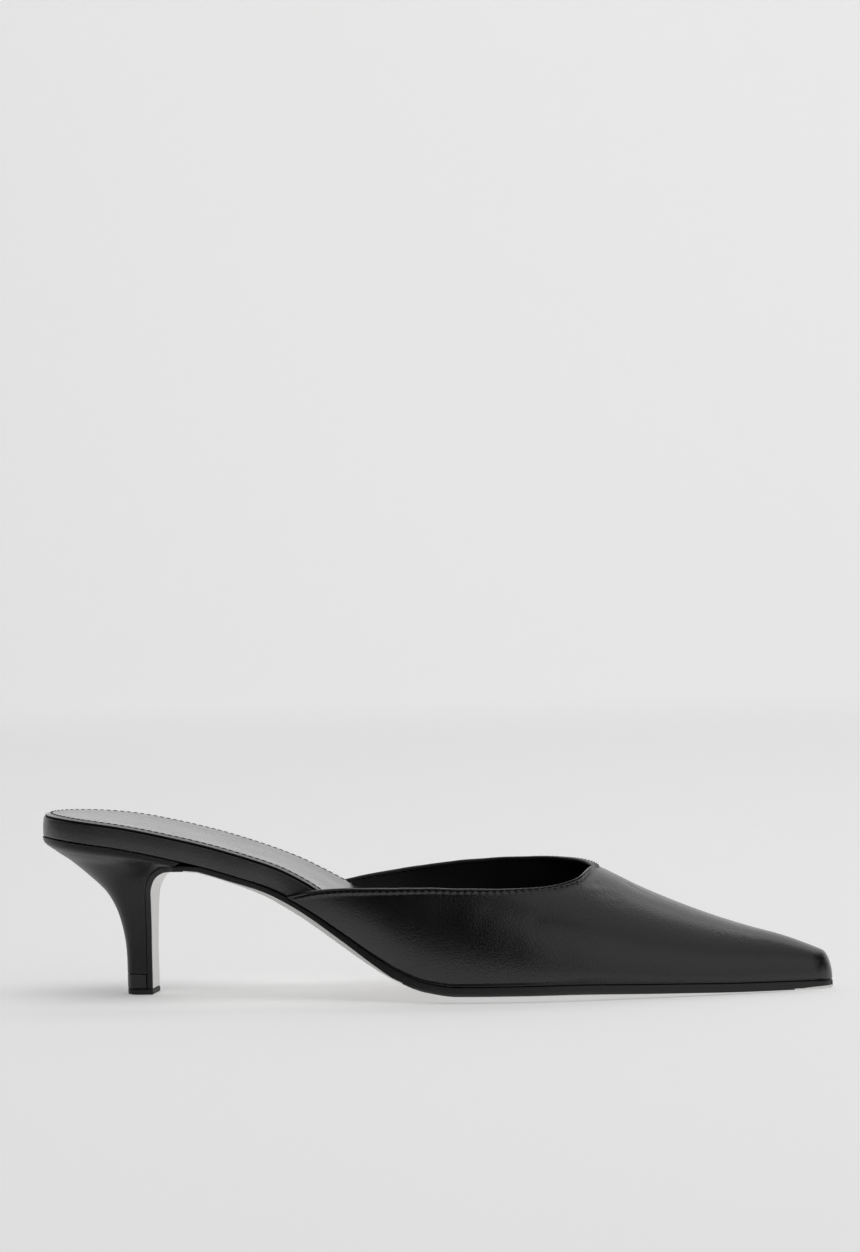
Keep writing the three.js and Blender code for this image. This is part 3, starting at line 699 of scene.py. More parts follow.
def buildUpper():
    points, faces, slots = [], [], []
    count = 0
    wall, turn, start = shoe["wall"], upper["turnRadius"], shoe["wingStart"]
    squeeze = (shoe["length"] - wall - start) / (shoe["length"] - start)
    for sign in (-1, 1):
        x, crown, shareGrids = sideGrid(sign)
        numbers = []
        for slot, shares in enumerate(shareGrids):
            s = crown[:, None] + (sign - crown[:, None]) * shares
            xs = np.broadcast_to(x[:, None], s.shape)
            base, normal = lastPoint(xs, s), lastNormal(xs, s)
            distance, arc = nearestOnTopline(base)
            distance[x <= shoe["throatStart"], 0] = 0
            if slot == 0:
                relief = outerRelief(base, distance, arc) - edgeTurn(distance)
                grid = base + normal * relief[..., None]
            else:
                # Inside, the wall is held near the topline and squared off to the last farther down
                deep = lastPoint(start + (xs - start) * squeeze, s, wall)
                depth = wall - edgeTurn(distance) * (wall - turn) / turn
                near = base - normal * depth[..., None]
                mix = blend(*upper["skinDepth"], distance)[..., None]
                grid = near * (1 - mix) + deep * mix
            newFaces = gridFaces(*s.shape, count, flip=(sign > 0) != (slot == 1))
            faces += newFaces
            slots += [slot] * len(newFaces)
            points.append(grid.reshape(-1, 3))
            numbers.append(count + np.arange(s.size).reshape(s.shape))
            count += s.size
        # The wall's underside along the foot line, then its end at the wing
        outer, inner = numbers
        rim = np.stack([outer[:-1, -1], outer[1:, -1], inner[1:, -1], inner[:-1, -1]], 1).tolist()
        rim.append([*inner[0].tolist(), *outer[0, ::-1].tolist()])
        faces += [tuple(corners[::-1] if sign > 0 else corners) for corners in rim]
        slots += [0] * len(rim)
    piece = makeObject("upper_shell", np.vstack(points), faces, [upperLeather, liningLeather], slots)
    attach(piece, "root")
    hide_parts("upper")


buildUpper()
print("upper made")


# The wrapped platform and the sock are slabs that follow the foot line. They draw in under the
# wings and, farther on, reach out to the upper.
coverage = {
    "insetLead": 18.0,
    "coverDelay": 6.0,
    "coverReach": 16.0,
    "clearance": 0.1,
}


def upperInset(x):
    wing = shoe["wingStart"]
    return (shoe["wall"] + shoe["seam"]) * blend(wing - coverage["insetLead"], wing, x)


def insideReach(x, sign, height):
    share = shareUnder(x, sign, height, shoe["wall"], highest=0.8)
    return np.abs(lastPoint(x, sign * (1 - share), shoe["wall"])[..., 1])


def slabWidths(x, height, inset, side):
    # Half widths at the slab's foot and at its top
    sign = -1.0 if side == "lateral" else 1.0
    nx, nz = soleNormal(x)
    topX = x + nx * height
    wing = shoe["wingStart"]
    covered = blend(wing + coverage["coverDelay"], wing + coverage["coverReach"], topX)
    plain = halfWidth(x, side) - upperInset(x) - inset
    topZ = soleHeight(x) + nz * height + edgeLift(x, sign * plain)
    reach = insideReach(topX, sign, topZ) - shoe["seam"] - coverage["clearance"] - inset
    return plain, np.maximum(plain, plain + (reach - plain) * covered)


def onSole(x, y, height):
    nx, nz = soleNormal(x)
    return np.stack([x + nx * height, y, soleHeight(x) + nz * height + edgeLift(x, y)], -1)


def loopNormals(loop):
    tangent = unit(np.roll(loop, -1, 0) - np.roll(loop, 1, 0))
    return np.stack([-tangent[:, 1], tangent[:, 0]], -1)


def slabLoops(x, inset, height, toeEnd):
    # Plan outlines at the slab's foot and top, lateral side forward and medial side back
    ends = rounded(toeEnd - x, shoe["toeRounding"])
    if inset:
        heelEnd = np.maximum(rounded(x, shoe["heelRounding"]), 0.01)
        ends = ends * rounded(x - inset, shoe["heelRounding"]) / heelEnd
    lateral = slabWidths(x, height, inset, "lateral")
    medial = slabWidths(x, height, inset, "medial")
    loops = []
    for near, far in zip(lateral, medial):
        loops.append(np.vstack([np.stack([x, -near * ends], -1), np.stack([x, far * ends], -1)[-2:0:-1]]))
    return loops


def slabRings(loops, rings, interior, base, thick, relief):
    # rings: (offset inward, height over the slab's foot as a share of its thickness)
    arc = arcLength(loops[1])

    def ring(offset, share, left=1.0):
        plan = loops[0] * (1 - share) + loops[1] * share
        plan = plan + loopNormals(plan) * offset
        x, y = plan.T
        rise = relief(offset + (1 - left) * np.abs(y), arc) * share
        return onSole(x, y * left, base(x) + thick(x) * share + rise)

    left = 1 - np.arange(1, interior + 1) / interior
    under = [ring(*rings[0], part) for part in left[::-1]]
    return under + [ring(*each) for each in rings] + [ring(*rings[-1], part) for part in left]


def cornerRings(lowRadius, highRadius, thick, sideSteps, bulge, steps=6):
    angles = np.linspace(0, math.pi / 2, steps + 1)
    turns = [(1 - math.sin(angle), 1 - math.cos(angle)) for angle in angles]
    rings = [(lowRadius * out, lowRadius * up / thick) for out, up in turns]
    for share in np.arange(1, sideSteps) / sideSteps:
        height = lowRadius + (thick - lowRadius - highRadius) * share
        rings.append((-bulge * math.sin(math.pi * share), height / thick))
    return rings + [(highRadius * up, 1 - highRadius * out / thick) for out, up in turns]


def cosStations(start, end, count):
    share = (1 - np.cos(np.linspace(0, math.pi, count))) / 2
    return start + (end - start) * share


platform = {
    "stations": 300,
    "toeClearance": 2.2,
    "lowRadius": 0.5,
    "highRadius": 0.6,
    "bulge": 0.12,
    "sideSteps": 6,
    "innerRings": 8,
}


def buildPlatform():
    toeEnd = shoe["length"] - shoe["wall"] - platform["toeClearance"]
    x = cosStations(0.0, toeEnd, platform["stations"])
    base = lambda at: soleAt(at) + shoe["seam"]
    loops = slabLoops(x, 0.0, base(x) + boardAt(x), toeEnd)
    low, high = platform["lowRadius"], platform["highRadius"]
    rings = cornerRings(low, high, shoe["platform"], platform["sideSteps"], platform["bulge"])
    points = slabRings(loops, rings, platform["innerRings"], base, boardAt, lambda offset, arc: 0)
    faces = gridFaces(len(points), len(points[0]), closed=True)
    piece = makeObject("platform_wrap", np.vstack(points), faces, [wrapLeather])
    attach(piece, "root")
    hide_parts("insole_platform")


sock = {
    "stations": 620,
    "toeClearance": 6.0,
    "stitchInset": 2.0,
    "stitchPitch": 2.3,
    "grooveDepth": 0.14,
    "grooveWidth": 0.26,
    "swell": 0.04,
    "swells": ((0.8, 0.5), (-0.65, 0.35)),
    "swellPucker": 0.6,
    "groovePucker": 0.25,
    "padding": -0.3,
    "paddingReach": 14.0,
    "edgeDrop": 0.54,
    "lowRadius": 0.1,
    "highRadius": 0.25,
    "shadedRows": 16,
    "threadRise": 0.13,
    "seamFront": 170,
    "innerRings": 9,
}
sockSteps = [0.4, 0.6, 0.8, 1.0, 1.2, 1.35, 1.5, 1.65, 1.8, 1.9, 2.0, 2.1, 2.25, 2.5, 3.2]


def sockRelief(offset, arc):
    seam = offset - sock["stitchInset"]
    pull = np.cos(2 * math.pi * arc / sock["stitchPitch"])
    swell = sock["swell"] * sum(mound(seam - at, width) for at, width in sock["swells"])
    swell = swell * (1 + sock["swellPucker"] * pull)
    groove = sock["grooveDepth"] * mound(seam, sock["grooveWidth"]) * (1 - sock["groovePucker"] * pull)
    crown = sock["padding"] * blend(sock["stitchInset"], sock["paddingReach"], offset)
    turned = sock["edgeDrop"] * np.clip(-seam / sock["stitchInset"], 0, 1) ** 1.1
    return swell - groove + crown - turned


def sockBase(x):
    return soleAt(x) + boardAt(x) + 2 * shoe["seam"]


def buildSock():
    toeEnd = shoe["length"] - shoe["wall"] - sock["toeClearance"]
    x = cosStations(shoe["sockInset"], toeEnd, sock["stations"])
    loops = slabLoops(x, shoe["sockInset"], sockBase(x) + shoe["sock"], toeEnd)
    rings = cornerRings(sock["lowRadius"], sock["highRadius"], shoe["sock"], 1, 0.0, steps=4)
    rings += [(offset, 1.0) for offset in sockSteps]
    thick = lambda at: shoe["sock"] + 0 * at
    points = slabRings(loops, rings, sock["innerRings"], sockBase, thick, sockRelief)
    count = len(points[0])
    faces = gridFaces(len(points), count, closed=True)
    # The sock's underside, side and the start of its top rounding get the near black: painted shade for the
    # gap under its edge.
    slots = [int(i < sock["shadedRows"] * count) for i in range(len(faces))]
    piece = makeObject("sock_lining", np.vstack(points), faces, [sockLeather, sockGapShade], slots)
    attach(piece, "root")
    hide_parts("insole_sock")
    return loops


buildPlatform()
sockLoops = buildSock()
print("platform and sock made")


# The sole runs on down the heel's breast as a flap. Its underside is pale and its edge is dyed. Under the
# forepart the black is also laid in under the sole as painted shade.

heel = {
    "tipBack": 27.3,
    "tipLength": 9.5,
    "tipWidth": 11.0,
    "tipHeight": 6.8,
    "liftThickness": 1.8,
    "tipReveal": 0.25,
    "breastReach": 20.2,
    "backRounding": 0.5,
    "bedding": 0.05,
    "flapSeam": 0.06,
    "seatBack": 0.8,
    "seatFront": 0.1,
    "tipBevel": 0.14,
    "liftRounding": 0.25,
    "liftEdge": 0.12,
    "rings": 90,
    "backSteps": 25,
}
breastLine = [(0.78, 0.820), (0.52, 0.817), (0.30, 0.795), (0.13, 0.750), (0.04, 0.680)]
breastLine += [(0.02, 0.580), (0.01, 0.440), (0.00, 0.280), (0.00, 0.140)]
heelSections = table(
    "back up wide breast bow",
    (1.000, 0.22, 0.212, 0.22, 0),
    (0.990, 0.32, 0.220, 0.33, 0),
    (0.960, 0.42, 0.240, 0.43, 0),
    (0.910, 0.52, 0.275, 0.53, 0),
    (0.835, 0.61, 0.335, 0.61, 0),
    (0.700, 0.705, 0.440, 0.68, 0.05),
    (0.540, 0.785, 0.570, 0.73, 0.15),
    (0.360, 0.868, 0.715, 0.78, 0.35),
    (0.190, 0.942, 0.865, 0.82, 0.65),
    (0.075, 1.003, 0.965, 0.86, 0.92),
)


def breastPath():
    front = heel["tipBack"] + heel["tipLength"]
    waist = front + heel["breastReach"]
    points = [(waist, soleHeight(waist))]
    points += [(front + out * heel["breastReach"], up * shoe["archRise"]) for out, up in breastLine]
    path = smoothPath([*points, (front, heel["liftThickness"] + shoe["seam"])], 240)
    arc = arcLength(path)
    return path, arc / arc[-1]


breast, breastArc = breastPath()


def breastPoint(u):
    # Point and inward normal of the flap's face; u is 0 at the waist and 1 at the heel tip
    def spot(at):
        return np.stack([np.interp(at, breastArc, column) for column in breast.T], -1)

    step = 0.004
    tangent = unit(spot(np.clip(u + step, 0, 1)) - spot(np.clip(u - step, 0, 1)))
    return *spot(u).T, tangent[..., 1], -tangent[..., 0]


outsole = {
    "flapSteps": 70,
    "soleSteps": 260,
    "edgeRadius": 0.35,
    "acrossSteps": 18,
    "turnSteps": 5,
    "topSteps": 8,
    "underGap": 0.01,
    "turnGap": 0.006,
    "riseGap": 0.02,
    "paleMargin": 0.1,
    "paleShown": 0.05,
    "bevelFade": (-0.9, -0.1),
    "toeEasing": 1.8,
    "revealReach": 25,
    "toeFade": 30,
    "toeWidth": 1.6,
    "toeRounding": 0.7,
}

# How much of the sole's edge is left pale, counted up from its underside in millimetres. Below zero the
# black is painted in under the sole instead, as painted shade where the forepart sits in its contact shadow.
paleEdgeAndShade = table(
    "at height",
    (0.00, 0.0),
    (0.15, 0.0),
    (0.22, 0.1),
    (0.26, 0.45),
    (0.30, 1.1),
    (0.34, 1.45),
    (0.40, 1.35),
    (0.44, 0.9),
    (0.48, 0.0),
    (0.52, -1.5),
    (0.92, -1.5),
    (0.955, 0.0),
    (0.98, 0.7),
    (1.00, 1.0),
)


def soleSection(x, z, nx, nz, sides, thick, pale, bevel, shrink):
    # Rings round the section, from the lateral foot over the medial foot and the top. Where pale is
    # below zero the edge's black runs on over the edge and in under the sole as painted shade.
    lateral, medial = sides
    radius = outsole["edgeRadius"]
    level = 0 * thick
    under = np.clip(-pale, 0, None) + outsole["underGap"]
    bevel = bevel * (1 - blend(*outsole["bevelFade"], pale))
    rise = np.clip(pale, 0, thick - radius - outsole["paleMargin"])
    turns = []
    for turn in np.linspace(0, 1, outsole["turnSteps"]):
        angle = turn * math.pi / 2
        turns.append((turn, radius * (1 - math.sin(angle)), radius * (1 - math.cos(angle))))
    # Each step up the edge: how far in and how high
    edges = [(radius + bevel + outsole["turnGap"], level)]
    edges += [(drawn + bevel * (1 - turn), up + bevel * turn) for turn, drawn, up in turns[1:]]
    edges.append((level, np.maximum(rise, radius + bevel + outsole["riseGap"])))
    edges += [(up, thick - drawn) for turn, drawn, up in turns]
    columns = []
    for share in np.linspace(-1, 1, outsole["acrossSteps"] + 1):
        reach = np.where(share < 0, lateral, medial) - radius - bevel - under
        columns.append((reach * share, level))
    columns += [(medial - inward, height) for inward, height in edges]
    for share in np.linspace(1, -1, outsole["topSteps"] + 1)[1:-1]:
        columns.append((np.where(share < 0, lateral - radius, medial - radius) * share, thick))
    columns += [(inward - lateral, height) for inward, height in edges[::-1]]
    ring = []
    for y, height in columns:
        inside = thick / 2 + (height - thick / 2) * shrink
        ring.append(np.stack([x + nx * inside, y + 0 * x, z + nz * inside + edgeLift(x, y)], -1))
    return np.stack(ring, 1), pale > outsole["paleShown"]


def soleSlots(count, shown):
    # The underside is pale. The rows that turn up to the pale edge are dyed black where it is hidden, and
    # under the forepart that black is painted shade.
    across = outsole["acrossSteps"]
    turning = outsole["turnSteps"]
    slots = np.zeros((len(shown), count), int)
    slots[:, :across] = 1
    slots[shown, across : across + turning + 1] = 1
    slots[shown, count - turning - 1 :] = 1
    return slots[:-1].ravel().tolist()


def buildOutsole():
    length = shoe["length"]
    share = np.linspace(0, 1, outsole["flapSteps"], endpoint=False)
    x, z, nx, nz = breastPoint(1 - share)
    full = blend(0.9, 1, share)
    rows = {
        "at": np.concatenate([[0], heelSections["breast"]]),
        "wide": np.concatenate([[heel["tipWidth"] / 2], heelSections["wide"] * shoe["seatWidth"] / 2]),
    }
    slim = follow(rows, "wide", share) * (1 - full)
    sides = [slim + halfWidth(x, side) * full for side in ("lateral", "medial")]
    thick = shoe["waistSole"] + 0 * x
    pale = follow(paleEdgeAndShade, "height", x / length)
    flap, flapShown = soleSection(x, z, nx, nz, sides, thick, pale, 0 * x, 1 + 0 * x)
    front = heel["tipBack"] + heel["tipLength"] + heel["breastReach"]
    eased = np.linspace(0, 1, outsole["soleSteps"])
    x = front + (length - front) * (1 - (1 - eased) ** outsole["toeEasing"])
    reveal = shoe["soleReveal"] * blend(shoe["wingStart"], shoe["wingStart"] + outsole["revealReach"], x)
    reveal = reveal * blend(length, length - outsole["toeFade"], x)
    sides = [np.maximum(halfWidth(x, side) + reveal, outsole["toeWidth"]) for side in ("lateral", "medial")]
    shrink = 1 - 0.5 * (1 - rounded(length - x, outsole["toeRounding"]))
    pale = follow(paleEdgeAndShade, "height", x / length)
    bevel = shoe["soleBevel"] * follow(soleLine, "lift", x / length)
    sole, soleShown = soleSection(x, soleHeight(x), *soleNormal(x), sides, soleAt(x), pale, bevel, shrink)
    rings = np.concatenate([flap, sole])
    faceSlots = soleSlots(rings.shape[1], np.concatenate([flapShown, soleShown]))
    piece = closedStack("outsole_flap", rings, [edgeDyeAndShade, soleLeather], faceSlots, sharpAngle=50)
    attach(piece, "root")
    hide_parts("outsole")


def bedAt(x):
    return soleHeight(x) + shoe["waistSole"] / soleNormal(x)[1]


def heelRings(rows, count):
    # rows: columns of the ring's back and front, its half width, fit to the seat and bow
    at = np.linspace(0, len(rows["at"]) - 1, count)
    ring = {name: follow(rows, name, at)[:, None] for name in rows if name != "at"}
    angles = np.linspace(0, math.pi / 2, heel["backSteps"] + 1)
    share = np.concatenate([heel["backRounding"] * (1 - np.cos(angles)), [0.6, 0.7, 0.8, 0.9, 1.0]])
    x = ring["backX"] + (ring["frontX"] - ring["backX"]) * share
    chord = ring["backZ"] + (ring["frontZ"] - ring["backZ"]) * share
    plain = ring["wide"] * rounded(share, heel["backRounding"])
    ends = ring["backGap"] * (1 - share) + ring["frontGap"] * share
    z = chord + ring["bow"] * (bedAt(x) - chord - ends)
    sides = []
    for sign, side in ((-1.0, "lateral"), (1.0, "medial")):
        y = sign * (plain * (1 - ring["fit"]) + halfWidth(x, side) * ring["fit"])
        sides.append(np.stack([x, y, z], -1))
    lateral, medial = sides
    across = [lateral[:, -1] * (1 - t) + medial[:, -1] * t for t in (0.25, 0.5, 0.75)]
    return np.concatenate([lateral, np.stack(across, 1), medial[:, :0:-1]], axis=1)


def buildHeel():
    behind = shoe["waistSole"] + heel["flapSeam"]
    px, pz, nx, nz = breastPoint(1 - heelSections["breast"])
    seatFront = float(breastPoint(np.array([heel["seatFront"]]))[0][0])
    foot = heel["tipHeight"] + shoe["seam"]
    seatBack, halfSeat = heel["seatBack"], shoe["seatWidth"] / 2

    def column(first, middle, last):
        return np.concatenate([[first], middle, [last]])

    rows = {
        "at": np.arange(len(px) + 2, dtype=float),
        "backX": column(heel["tipBack"], heelSections["back"] * heel["tipBack"], seatBack),
        "backZ": column(foot, heelSections["up"] * shoe["archRise"], bedAt(seatBack) - heel["bedding"]),
        "frontX": column(heel["tipBack"] + heel["tipLength"] - behind, px + nx * behind, seatFront),
        "frontZ": column(foot, pz + nz * behind, bedAt(seatFront) - heel["bedding"]),
        "wide": column(heel["tipWidth"] / 2 - heel["tipReveal"], heelSections["wide"] * halfSeat, halfSeat),
        "bow": column(0, heelSections["bow"], 1),
    }
    rows["fit"] = blend(0.5, 1, rows["bow"])
    for end in ("back", "front"):
        rows[end + "Gap"] = np.where(rows["bow"] > 0, bedAt(rows[end + "X"]) - rows[end + "Z"], 0)
    piece = closedStack("heel_cover", heelRings(rows, heel["rings"]), [heelLeather], sharpAngle=40)
    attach(piece, "root")
    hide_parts("heel")


def tipStack(levels):
    # levels: (height, how far the ring is drawn in, how far its front lies behind the flap's face)
    columns = {"at": np.arange(len(levels), dtype=float)}
    height, drawn, front = (np.array(column, float) for column in zip(*levels))
    columns["backX"] = heel["tipBack"] + drawn
    columns["frontX"] = heel["tipBack"] + heel["tipLength"] - front
    columns["backZ"] = columns["frontZ"] = height
    columns["wide"] = heel["tipWidth"] / 2 - drawn
    for name in ("bow", "fit", "backGap", "frontGap"):
        columns[name] = 0 * height
    return heelRings(columns, len(levels))


def buildTip():
    behind, bevel = shoe["waistSole"] + shoe["seam"], heel["tipBevel"]
    low, high = heel["liftThickness"] + shoe["seam"], heel["tipHeight"]
    drawn = ((low, bevel), (low + bevel, 0), (high - bevel, 0), (high, bevel))
    levels = [(*level, behind) for level in drawn]
    piece = closedStack("heel_tip_block", tipStack(levels), [tipPlastic], sharpAngle=40)
    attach(piece, "root")
    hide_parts("heel_tip")


def buildLift():
    foot, high, edge = heel["liftRounding"], heel["liftThickness"], heel["liftEdge"]
    levels = [(0, foot, foot), (0.08, 0.08, 0.08), (foot, 0, 0), (high - edge, 0, 0), (high, edge, edge)]
    piece = closedStack("top_lift_rubber", tipStack(levels), [liftRubber], sharpAngle=40)
    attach(piece, "root")
    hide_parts("top_lift")


buildOutsole()
buildHeel()
buildTip()
buildLift()
print("sole and heel made")


# Stitches: short bowed threads set along a seam line

stitches = {
    "pitch": 2.3,
    "length": 1.75,
    "threadRadius": 0.17,
    "bow": 0.16,
    "sink": 0.14,
    "slant": 9.0,
    "jitter": 2.5,
    "seed": 4,
}
stitchLengths = ("pitch", "length", "threadRadius", "bow", "sink")
stitchAngles = ("slant", "jitter")


def stitchTree():
    group = bpy.data.node_groups.new("seamStitches", "GeometryNodeTree")
    groupSocket(group, "Geometry", "NodeSocketGeometry", "INPUT")
    for name in stitchLengths:
        groupSocket(group, name, "NodeSocketFloat", "INPUT", stitches[name] / 1000)
    for name in stitchAngles:
        groupSocket(group, name, "NodeSocketFloat", "INPUT", math.radians(stitches[name]))
    groupSocket(group, "seed", "NodeSocketInt", "INPUT", stitches["seed"])
    groupSocket(group, "thread", "NodeSocketMaterial", "INPUT")
    groupSocket(group, "Geometry", "NodeSocketGeometry", "OUTPUT")
    source = group.nodes.new("NodeGroupInput").outputs

    def node(kind, inputs=None, output=0, **settings):
        return addNode(group, kind, inputs, **settings).outputs[output]

    # One bowed thread
    half = mathNode(group, "MULTIPLY", source["length"], 0.5)
    back = mathNode(group, "MULTIPLY", half, -1.0)
    down = mathNode(group, "MULTIPLY", source["sink"], -1.0)
    start = node("ShaderNodeCombineXYZ", {"X": back, "Z": down})
    middle = node("ShaderNodeCombineXYZ", {"Z": source["bow"]})
    end = node("ShaderNodeCombineXYZ", {"X": half, "Z": down})
    bowed = {"Resolution": 7, "Start": start, "Middle": middle, "End": end}
    line = node("GeometryNodeCurveQuadraticBezier", bowed)
    profile = node("GeometryNodeCurvePrimitiveCircle", {"Resolution": 8, "Radius": source["threadRadius"]})
    tube = node("GeometryNodeCurveToMesh", {"Curve": line, "Profile Curve": profile, "Fill Caps": True})
    # Its places along the seam, standing on the leather and leaning by a random angle
    seam = node("GeometryNodeMeshToCurve", {"Mesh": source["Geometry"]})
    spaced = node("GeometryNodeResampleCurve", {"Curve": seam, "Length": source["pitch"]}, mode="LENGTH")
    outward = node("GeometryNodeInputNamedAttribute", {"Name": "outward"}, data_type="FLOAT_VECTOR")
    stand = node("FunctionNodeAlignRotationToVector", {"Vector": outward}, axis="Z")
    along = {"Rotation": stand, "Vector": node("GeometryNodeInputTangent")}
    turn = node("FunctionNodeAlignRotationToVector", along, axis="X", pivot_axis="Z")
    low = mathNode(group, "SUBTRACT", source["slant"], source["jitter"])
    high = mathNode(group, "ADD", source["slant"], source["jitter"])
    lean = node("FunctionNodeRandomValue", {2: low, 3: high, "Seed": source["seed"]}, 1, data_type="FLOAT")
    spin = node("FunctionNodeAxisAngleToRotation", {"Axis": (0.0, 0.0, 1.0), "Angle": lean})
    turned = {"Rotation": turn, "Rotate By": spin}
    placed = node("FunctionNodeRotateRotation", turned, rotation_space="LOCAL")
    sewn = node("GeometryNodeInstanceOnPoints", {"Points": spaced, "Instance": tube, "Rotation": placed})
    real = node("GeometryNodeRealizeInstances", {"Geometry": sewn})
    soft = node("GeometryNodeSetShadeSmooth", {"Geometry": real})
    dyed = node("GeometryNodeSetMaterial", {"Geometry": soft, "Material": source["thread"]})
    group.links.new(dyed, group.nodes.new("NodeGroupOutput").inputs[0])
    return group


seamStitches = stitchTree()


def sewSeam(name, points, outward, slot, **changes):
    sizes = stitches | changes
    mesh = bpy.data.meshes.new(name + "_line")
    mesh.from_pydata(toFrame(points).tolist(), [(i, i + 1) for i in range(len(points) - 1)], [])
    attribute = mesh.attributes.new("outward", "FLOAT_VECTOR", "POINT")
    attribute.data.foreach_set("vector", np.asarray(outward, np.float32).ravel())
    guide = addObject(name + "_line", mesh)
    modifier = guide.modifiers.new("stitches", "NODES")
    modifier.node_group = seamStitches
    sockets = seamStitches.interface.items_tree
    named = {item.name: item.identifier for item in sockets if item.in_out == "INPUT"}
    for key in stitchLengths:
        modifier[named[key]] = sizes[key] / 1000
    for key in stitchAngles:
        modifier[named[key]] = math.radians(sizes[key])
    modifier[named["seed"]] = sizes["seed"]
    modifier[named["thread"]] = thread
    bpy.context.view_layer.update()
    evaluated = guide.evaluated_get(bpy.context.evaluated_depsgraph_get())
    sewn = bpy.data.meshes.new_from_object(evaluated)
    sewn.name = name
    piece = addObject(name, sewn)
    guide.modifiers.remove(modifier)
    bpy.data.objects.remove(guide)
    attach(piece, "root")


def toplineSeam(inside):
    # The seam runs a set distance below the topline, outside or inside the shell
    keep = slice(upper["seamEnds"], len(toplinePoints) - upper["seamEnds"], upper["seamStep"])
    normal = lastNormal(toplineX, toplineS)
    downward = unit(np.cross(np.gradient(toplinePoints, axis=0), normal))
    line = toplinePoints + downward * upper["grooveAt"]
    rise = -shoe["wall"] - upper["liningRise"] if inside else upper["groove"] + upper["threadRise"]
    line = line + normal * rise
    return line[keep], (-normal if inside else normal)[keep]


sewSeam("topline_stitches", *toplineSeam(False), "upper_leather")
sewSeam("lining_stitches", *toplineSeam(True), "upper_leather", slant=-9.0)


def sockSeam():
    plan = sockLoops[1] + loopNormals(sockLoops[1]) * sock["stitchInset"]
    x, y = plan.T
    points = onSole(x, y, sockBase(x) + shoe["sock"] - sock["grooveDepth"] + sock["threadRise"])
    nx, nz = soleNormal(x)
    outward = np.stack([nx, 0 * nx, nz], -1)
    order = np.roll(np.arange(len(plan)), -(len(plan) // 2))
    order = order[x[order] < sock["seamFront"]][::2]
    return points[order], outward[order]


sewSeam("sock_stitches", *sockSeam(), "sock_leather", threadRadius=0.19, length=1.7, bow=0.12)
print("stitches sewn")


# Floor, backdrop, lights and camera

studio = {
    "paperTone": 0.80,
    "paperGlow": 0.45,
    "floorGlowShare": 0.59,
    "glowFrom": 1.3,
    "glowTo": 2.9,
    "halfWidth": 4.0,
    "front": -0.6,
    "back": 1.9,
    "sweepRadius": 0.9,
    "sweepSteps": 24,
    "wallHeight": 3.2,
    "paperRoughness": 0.9,
    "paperSpecular": 0.1,
    "roomTone": 0.01,
}


def buildStudio():
    back, radius, reach = studio["back"], studio["sweepRadius"], studio["halfWidth"]
    profile = [(studio["front"], 0.0), (back, 0.0)]
    for angle in np.linspace(0, math.pi / 2, studio["sweepSteps"] + 1)[1:]:
        profile.append((back + radius * math.sin(angle), radius * (1 - math.cos(angle))))
    profile.append((back + radius, studio["wallHeight"]))
    points = [(x, y, z) for y, z in profile for x in (-reach, reach)]
    faces = [(2 * i, 2 * i + 1, 2 * i + 3, 2 * i + 2) for i in range(len(profile) - 1)]
    mesh = bpy.data.meshes.new("studio_floor")
    mesh.from_pydata(points, [], faces)
    mesh.shade_smooth()
    paper = bpy.data.materials.new("paper")
    paper.use_nodes = True
    tree = paper.node_tree
    shader = tree.nodes["Principled BSDF"]
    tone = studio["paperTone"]
    shader.inputs["Base Color"].default_value = (tone, tone, tone * 0.998, 1)
    shader.inputs["Emission Strength"].default_value = studio["paperGlow"]
    shader.inputs["Roughness"].default_value = studio["paperRoughness"]
    shader.inputs["Specular IOR Level"].default_value = studio["paperSpecular"]
    # The paper glows more from the back of the floor up to the wall
    place = addNode(tree, "ShaderNodeTexCoord").outputs["Object"]
    depth = addNode(tree, "ShaderNodeSeparateXYZ", {"Vector": place}).outputs["Y"]
    span = {"Value": depth, "From Min": studio["glowFrom"], "From Max": studio["glowTo"]}
    span |= {"To Min": studio["floorGlowShare"], "To Max": 1.0}
    ramp = addNode(tree, "ShaderNodeMapRange", span, interpolation_type="SMOOTHSTEP")
    tree.links.new(ramp.outputs["Result"], shader.inputs["Emission Color"])
    mesh.materials.append(paper)
    addObject("studio_floor", mesh)


def areaLight(name, place, target, size, power):
    data = bpy.data.lights.new(name, "AREA")
    data.shape = "RECTANGLE"
    data.size, data.size_y = size
    data.energy = power
    light = addObject(name, data)
    light.location = place
    light.rotation_euler = (Vector(target) - Vector(place)).to_track_quat("-Z", "Y").to_euler()
    return light


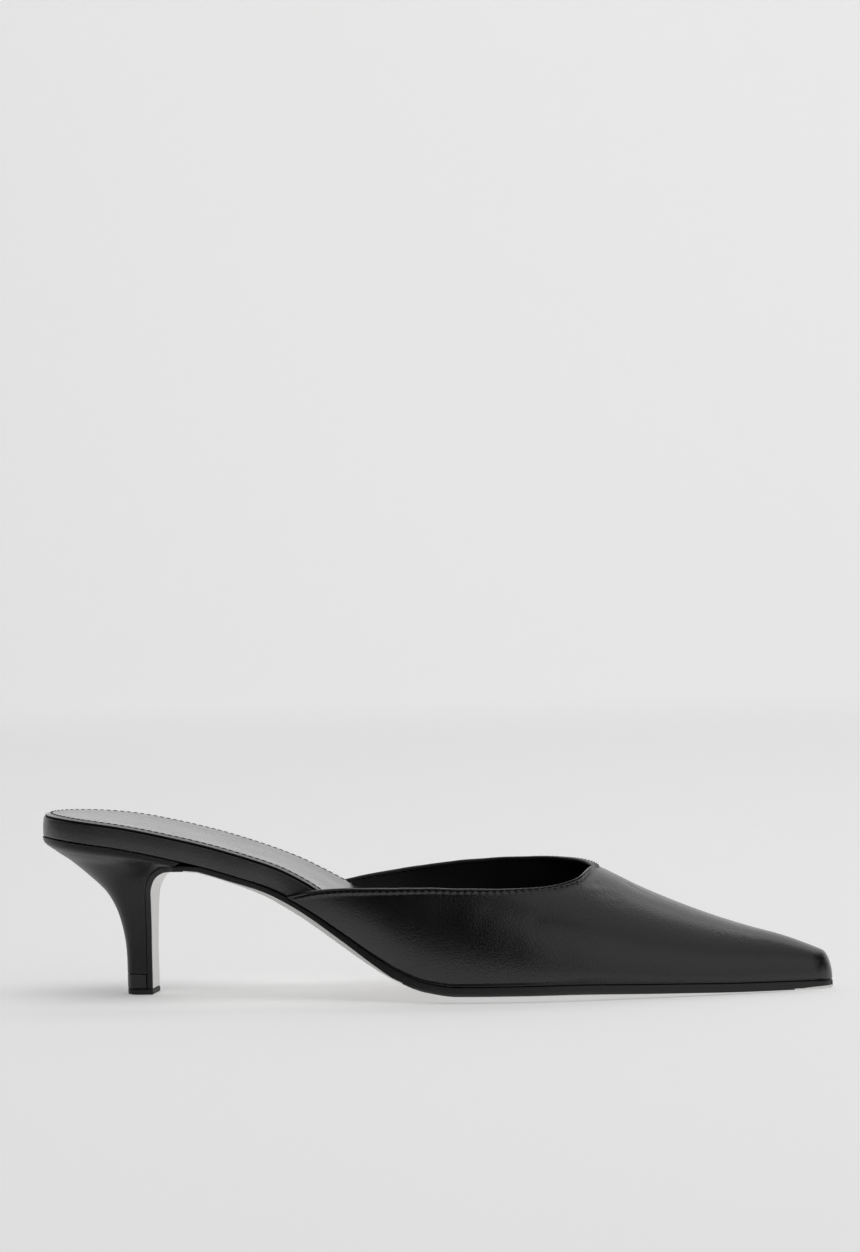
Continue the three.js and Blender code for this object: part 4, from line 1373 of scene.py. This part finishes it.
# Each light's place, target and size in metres, and its power in watts
lights = {
    "backTopLight": ((0.0, 1.5, 1.9), (0.0, 1.5, 0.0), (3.2, 0.9), 10),
    "topFill": ((0.5, -0.1, 2.0), (0.5, -0.1, 0.0), (2.4, 1.9), 7.5),
    "ceilingGlow": ((0.35, -0.15, 2.05), (0.35, -0.15, 0.0), (2.2, 1.2), 13),
    "rightFill": ((1.35, -1.35, 0.95), (0.0, 0.0, 0.02), (2.4, 1.8), 9),
}


def buildLights():
    made = {name: areaLight(name, *light) for name, light in lights.items()}
    # This one lights the paper and leaves the leather to mirror the wall behind the shoe
    made["ceilingGlow"].visible_glossy = False
    room = (studio["roomTone"],) * 3
    world = bpy.data.worlds.new("room")
    world.use_nodes = True
    world.node_tree.nodes["Background"].inputs["Color"].default_value = (*room, 1)
    bpy.context.scene.world = world


camera = {
    "yaw": 9.44,
    "pitch": 1.87,
    "roll": -1.58,
    "azimuth": 9.5,
    "elevation": 6.5,
    "distance": 1.490,
    "focal": 4500.0,
    "imageHeight": 1252,
    "sensorWidth": 36,
    "farClip": 50,
}


def direction(turn, tilt):
    return Vector((math.sin(turn) * math.cos(tilt), -math.cos(turn) * math.cos(tilt), math.sin(tilt)))


def buildCamera():
    yaw, pitch, roll = (math.radians(camera[name]) for name in ("yaw", "pitch", "roll"))
    backward = direction(yaw, pitch)
    right = Vector((math.cos(yaw), math.sin(yaw), 0))
    up = backward.cross(right)
    turnedRight = right * math.cos(roll) + up * math.sin(roll)
    turnedUp = up * math.cos(roll) - right * math.sin(roll)
    matrix = Matrix((turnedRight, turnedUp, backward)).transposed().to_4x4()
    place = direction(math.radians(camera["azimuth"]), math.radians(camera["elevation"]))
    matrix.translation = place * camera["distance"]
    data = bpy.data.cameras.new("camera")
    data.sensor_width = camera["sensorWidth"]
    data.lens = camera["focal"] / camera["imageHeight"] * data.sensor_width
    data.clip_end = camera["farClip"]
    eye = addObject("camera", data)
    eye.matrix_world = matrix
    bpy.context.scene.camera = eye


buildStudio()
buildLights()
buildCamera()
bpy.context.scene.view_settings.view_transform = "Standard"
bpy.context.scene.view_settings.look = "None"
print("studio made")
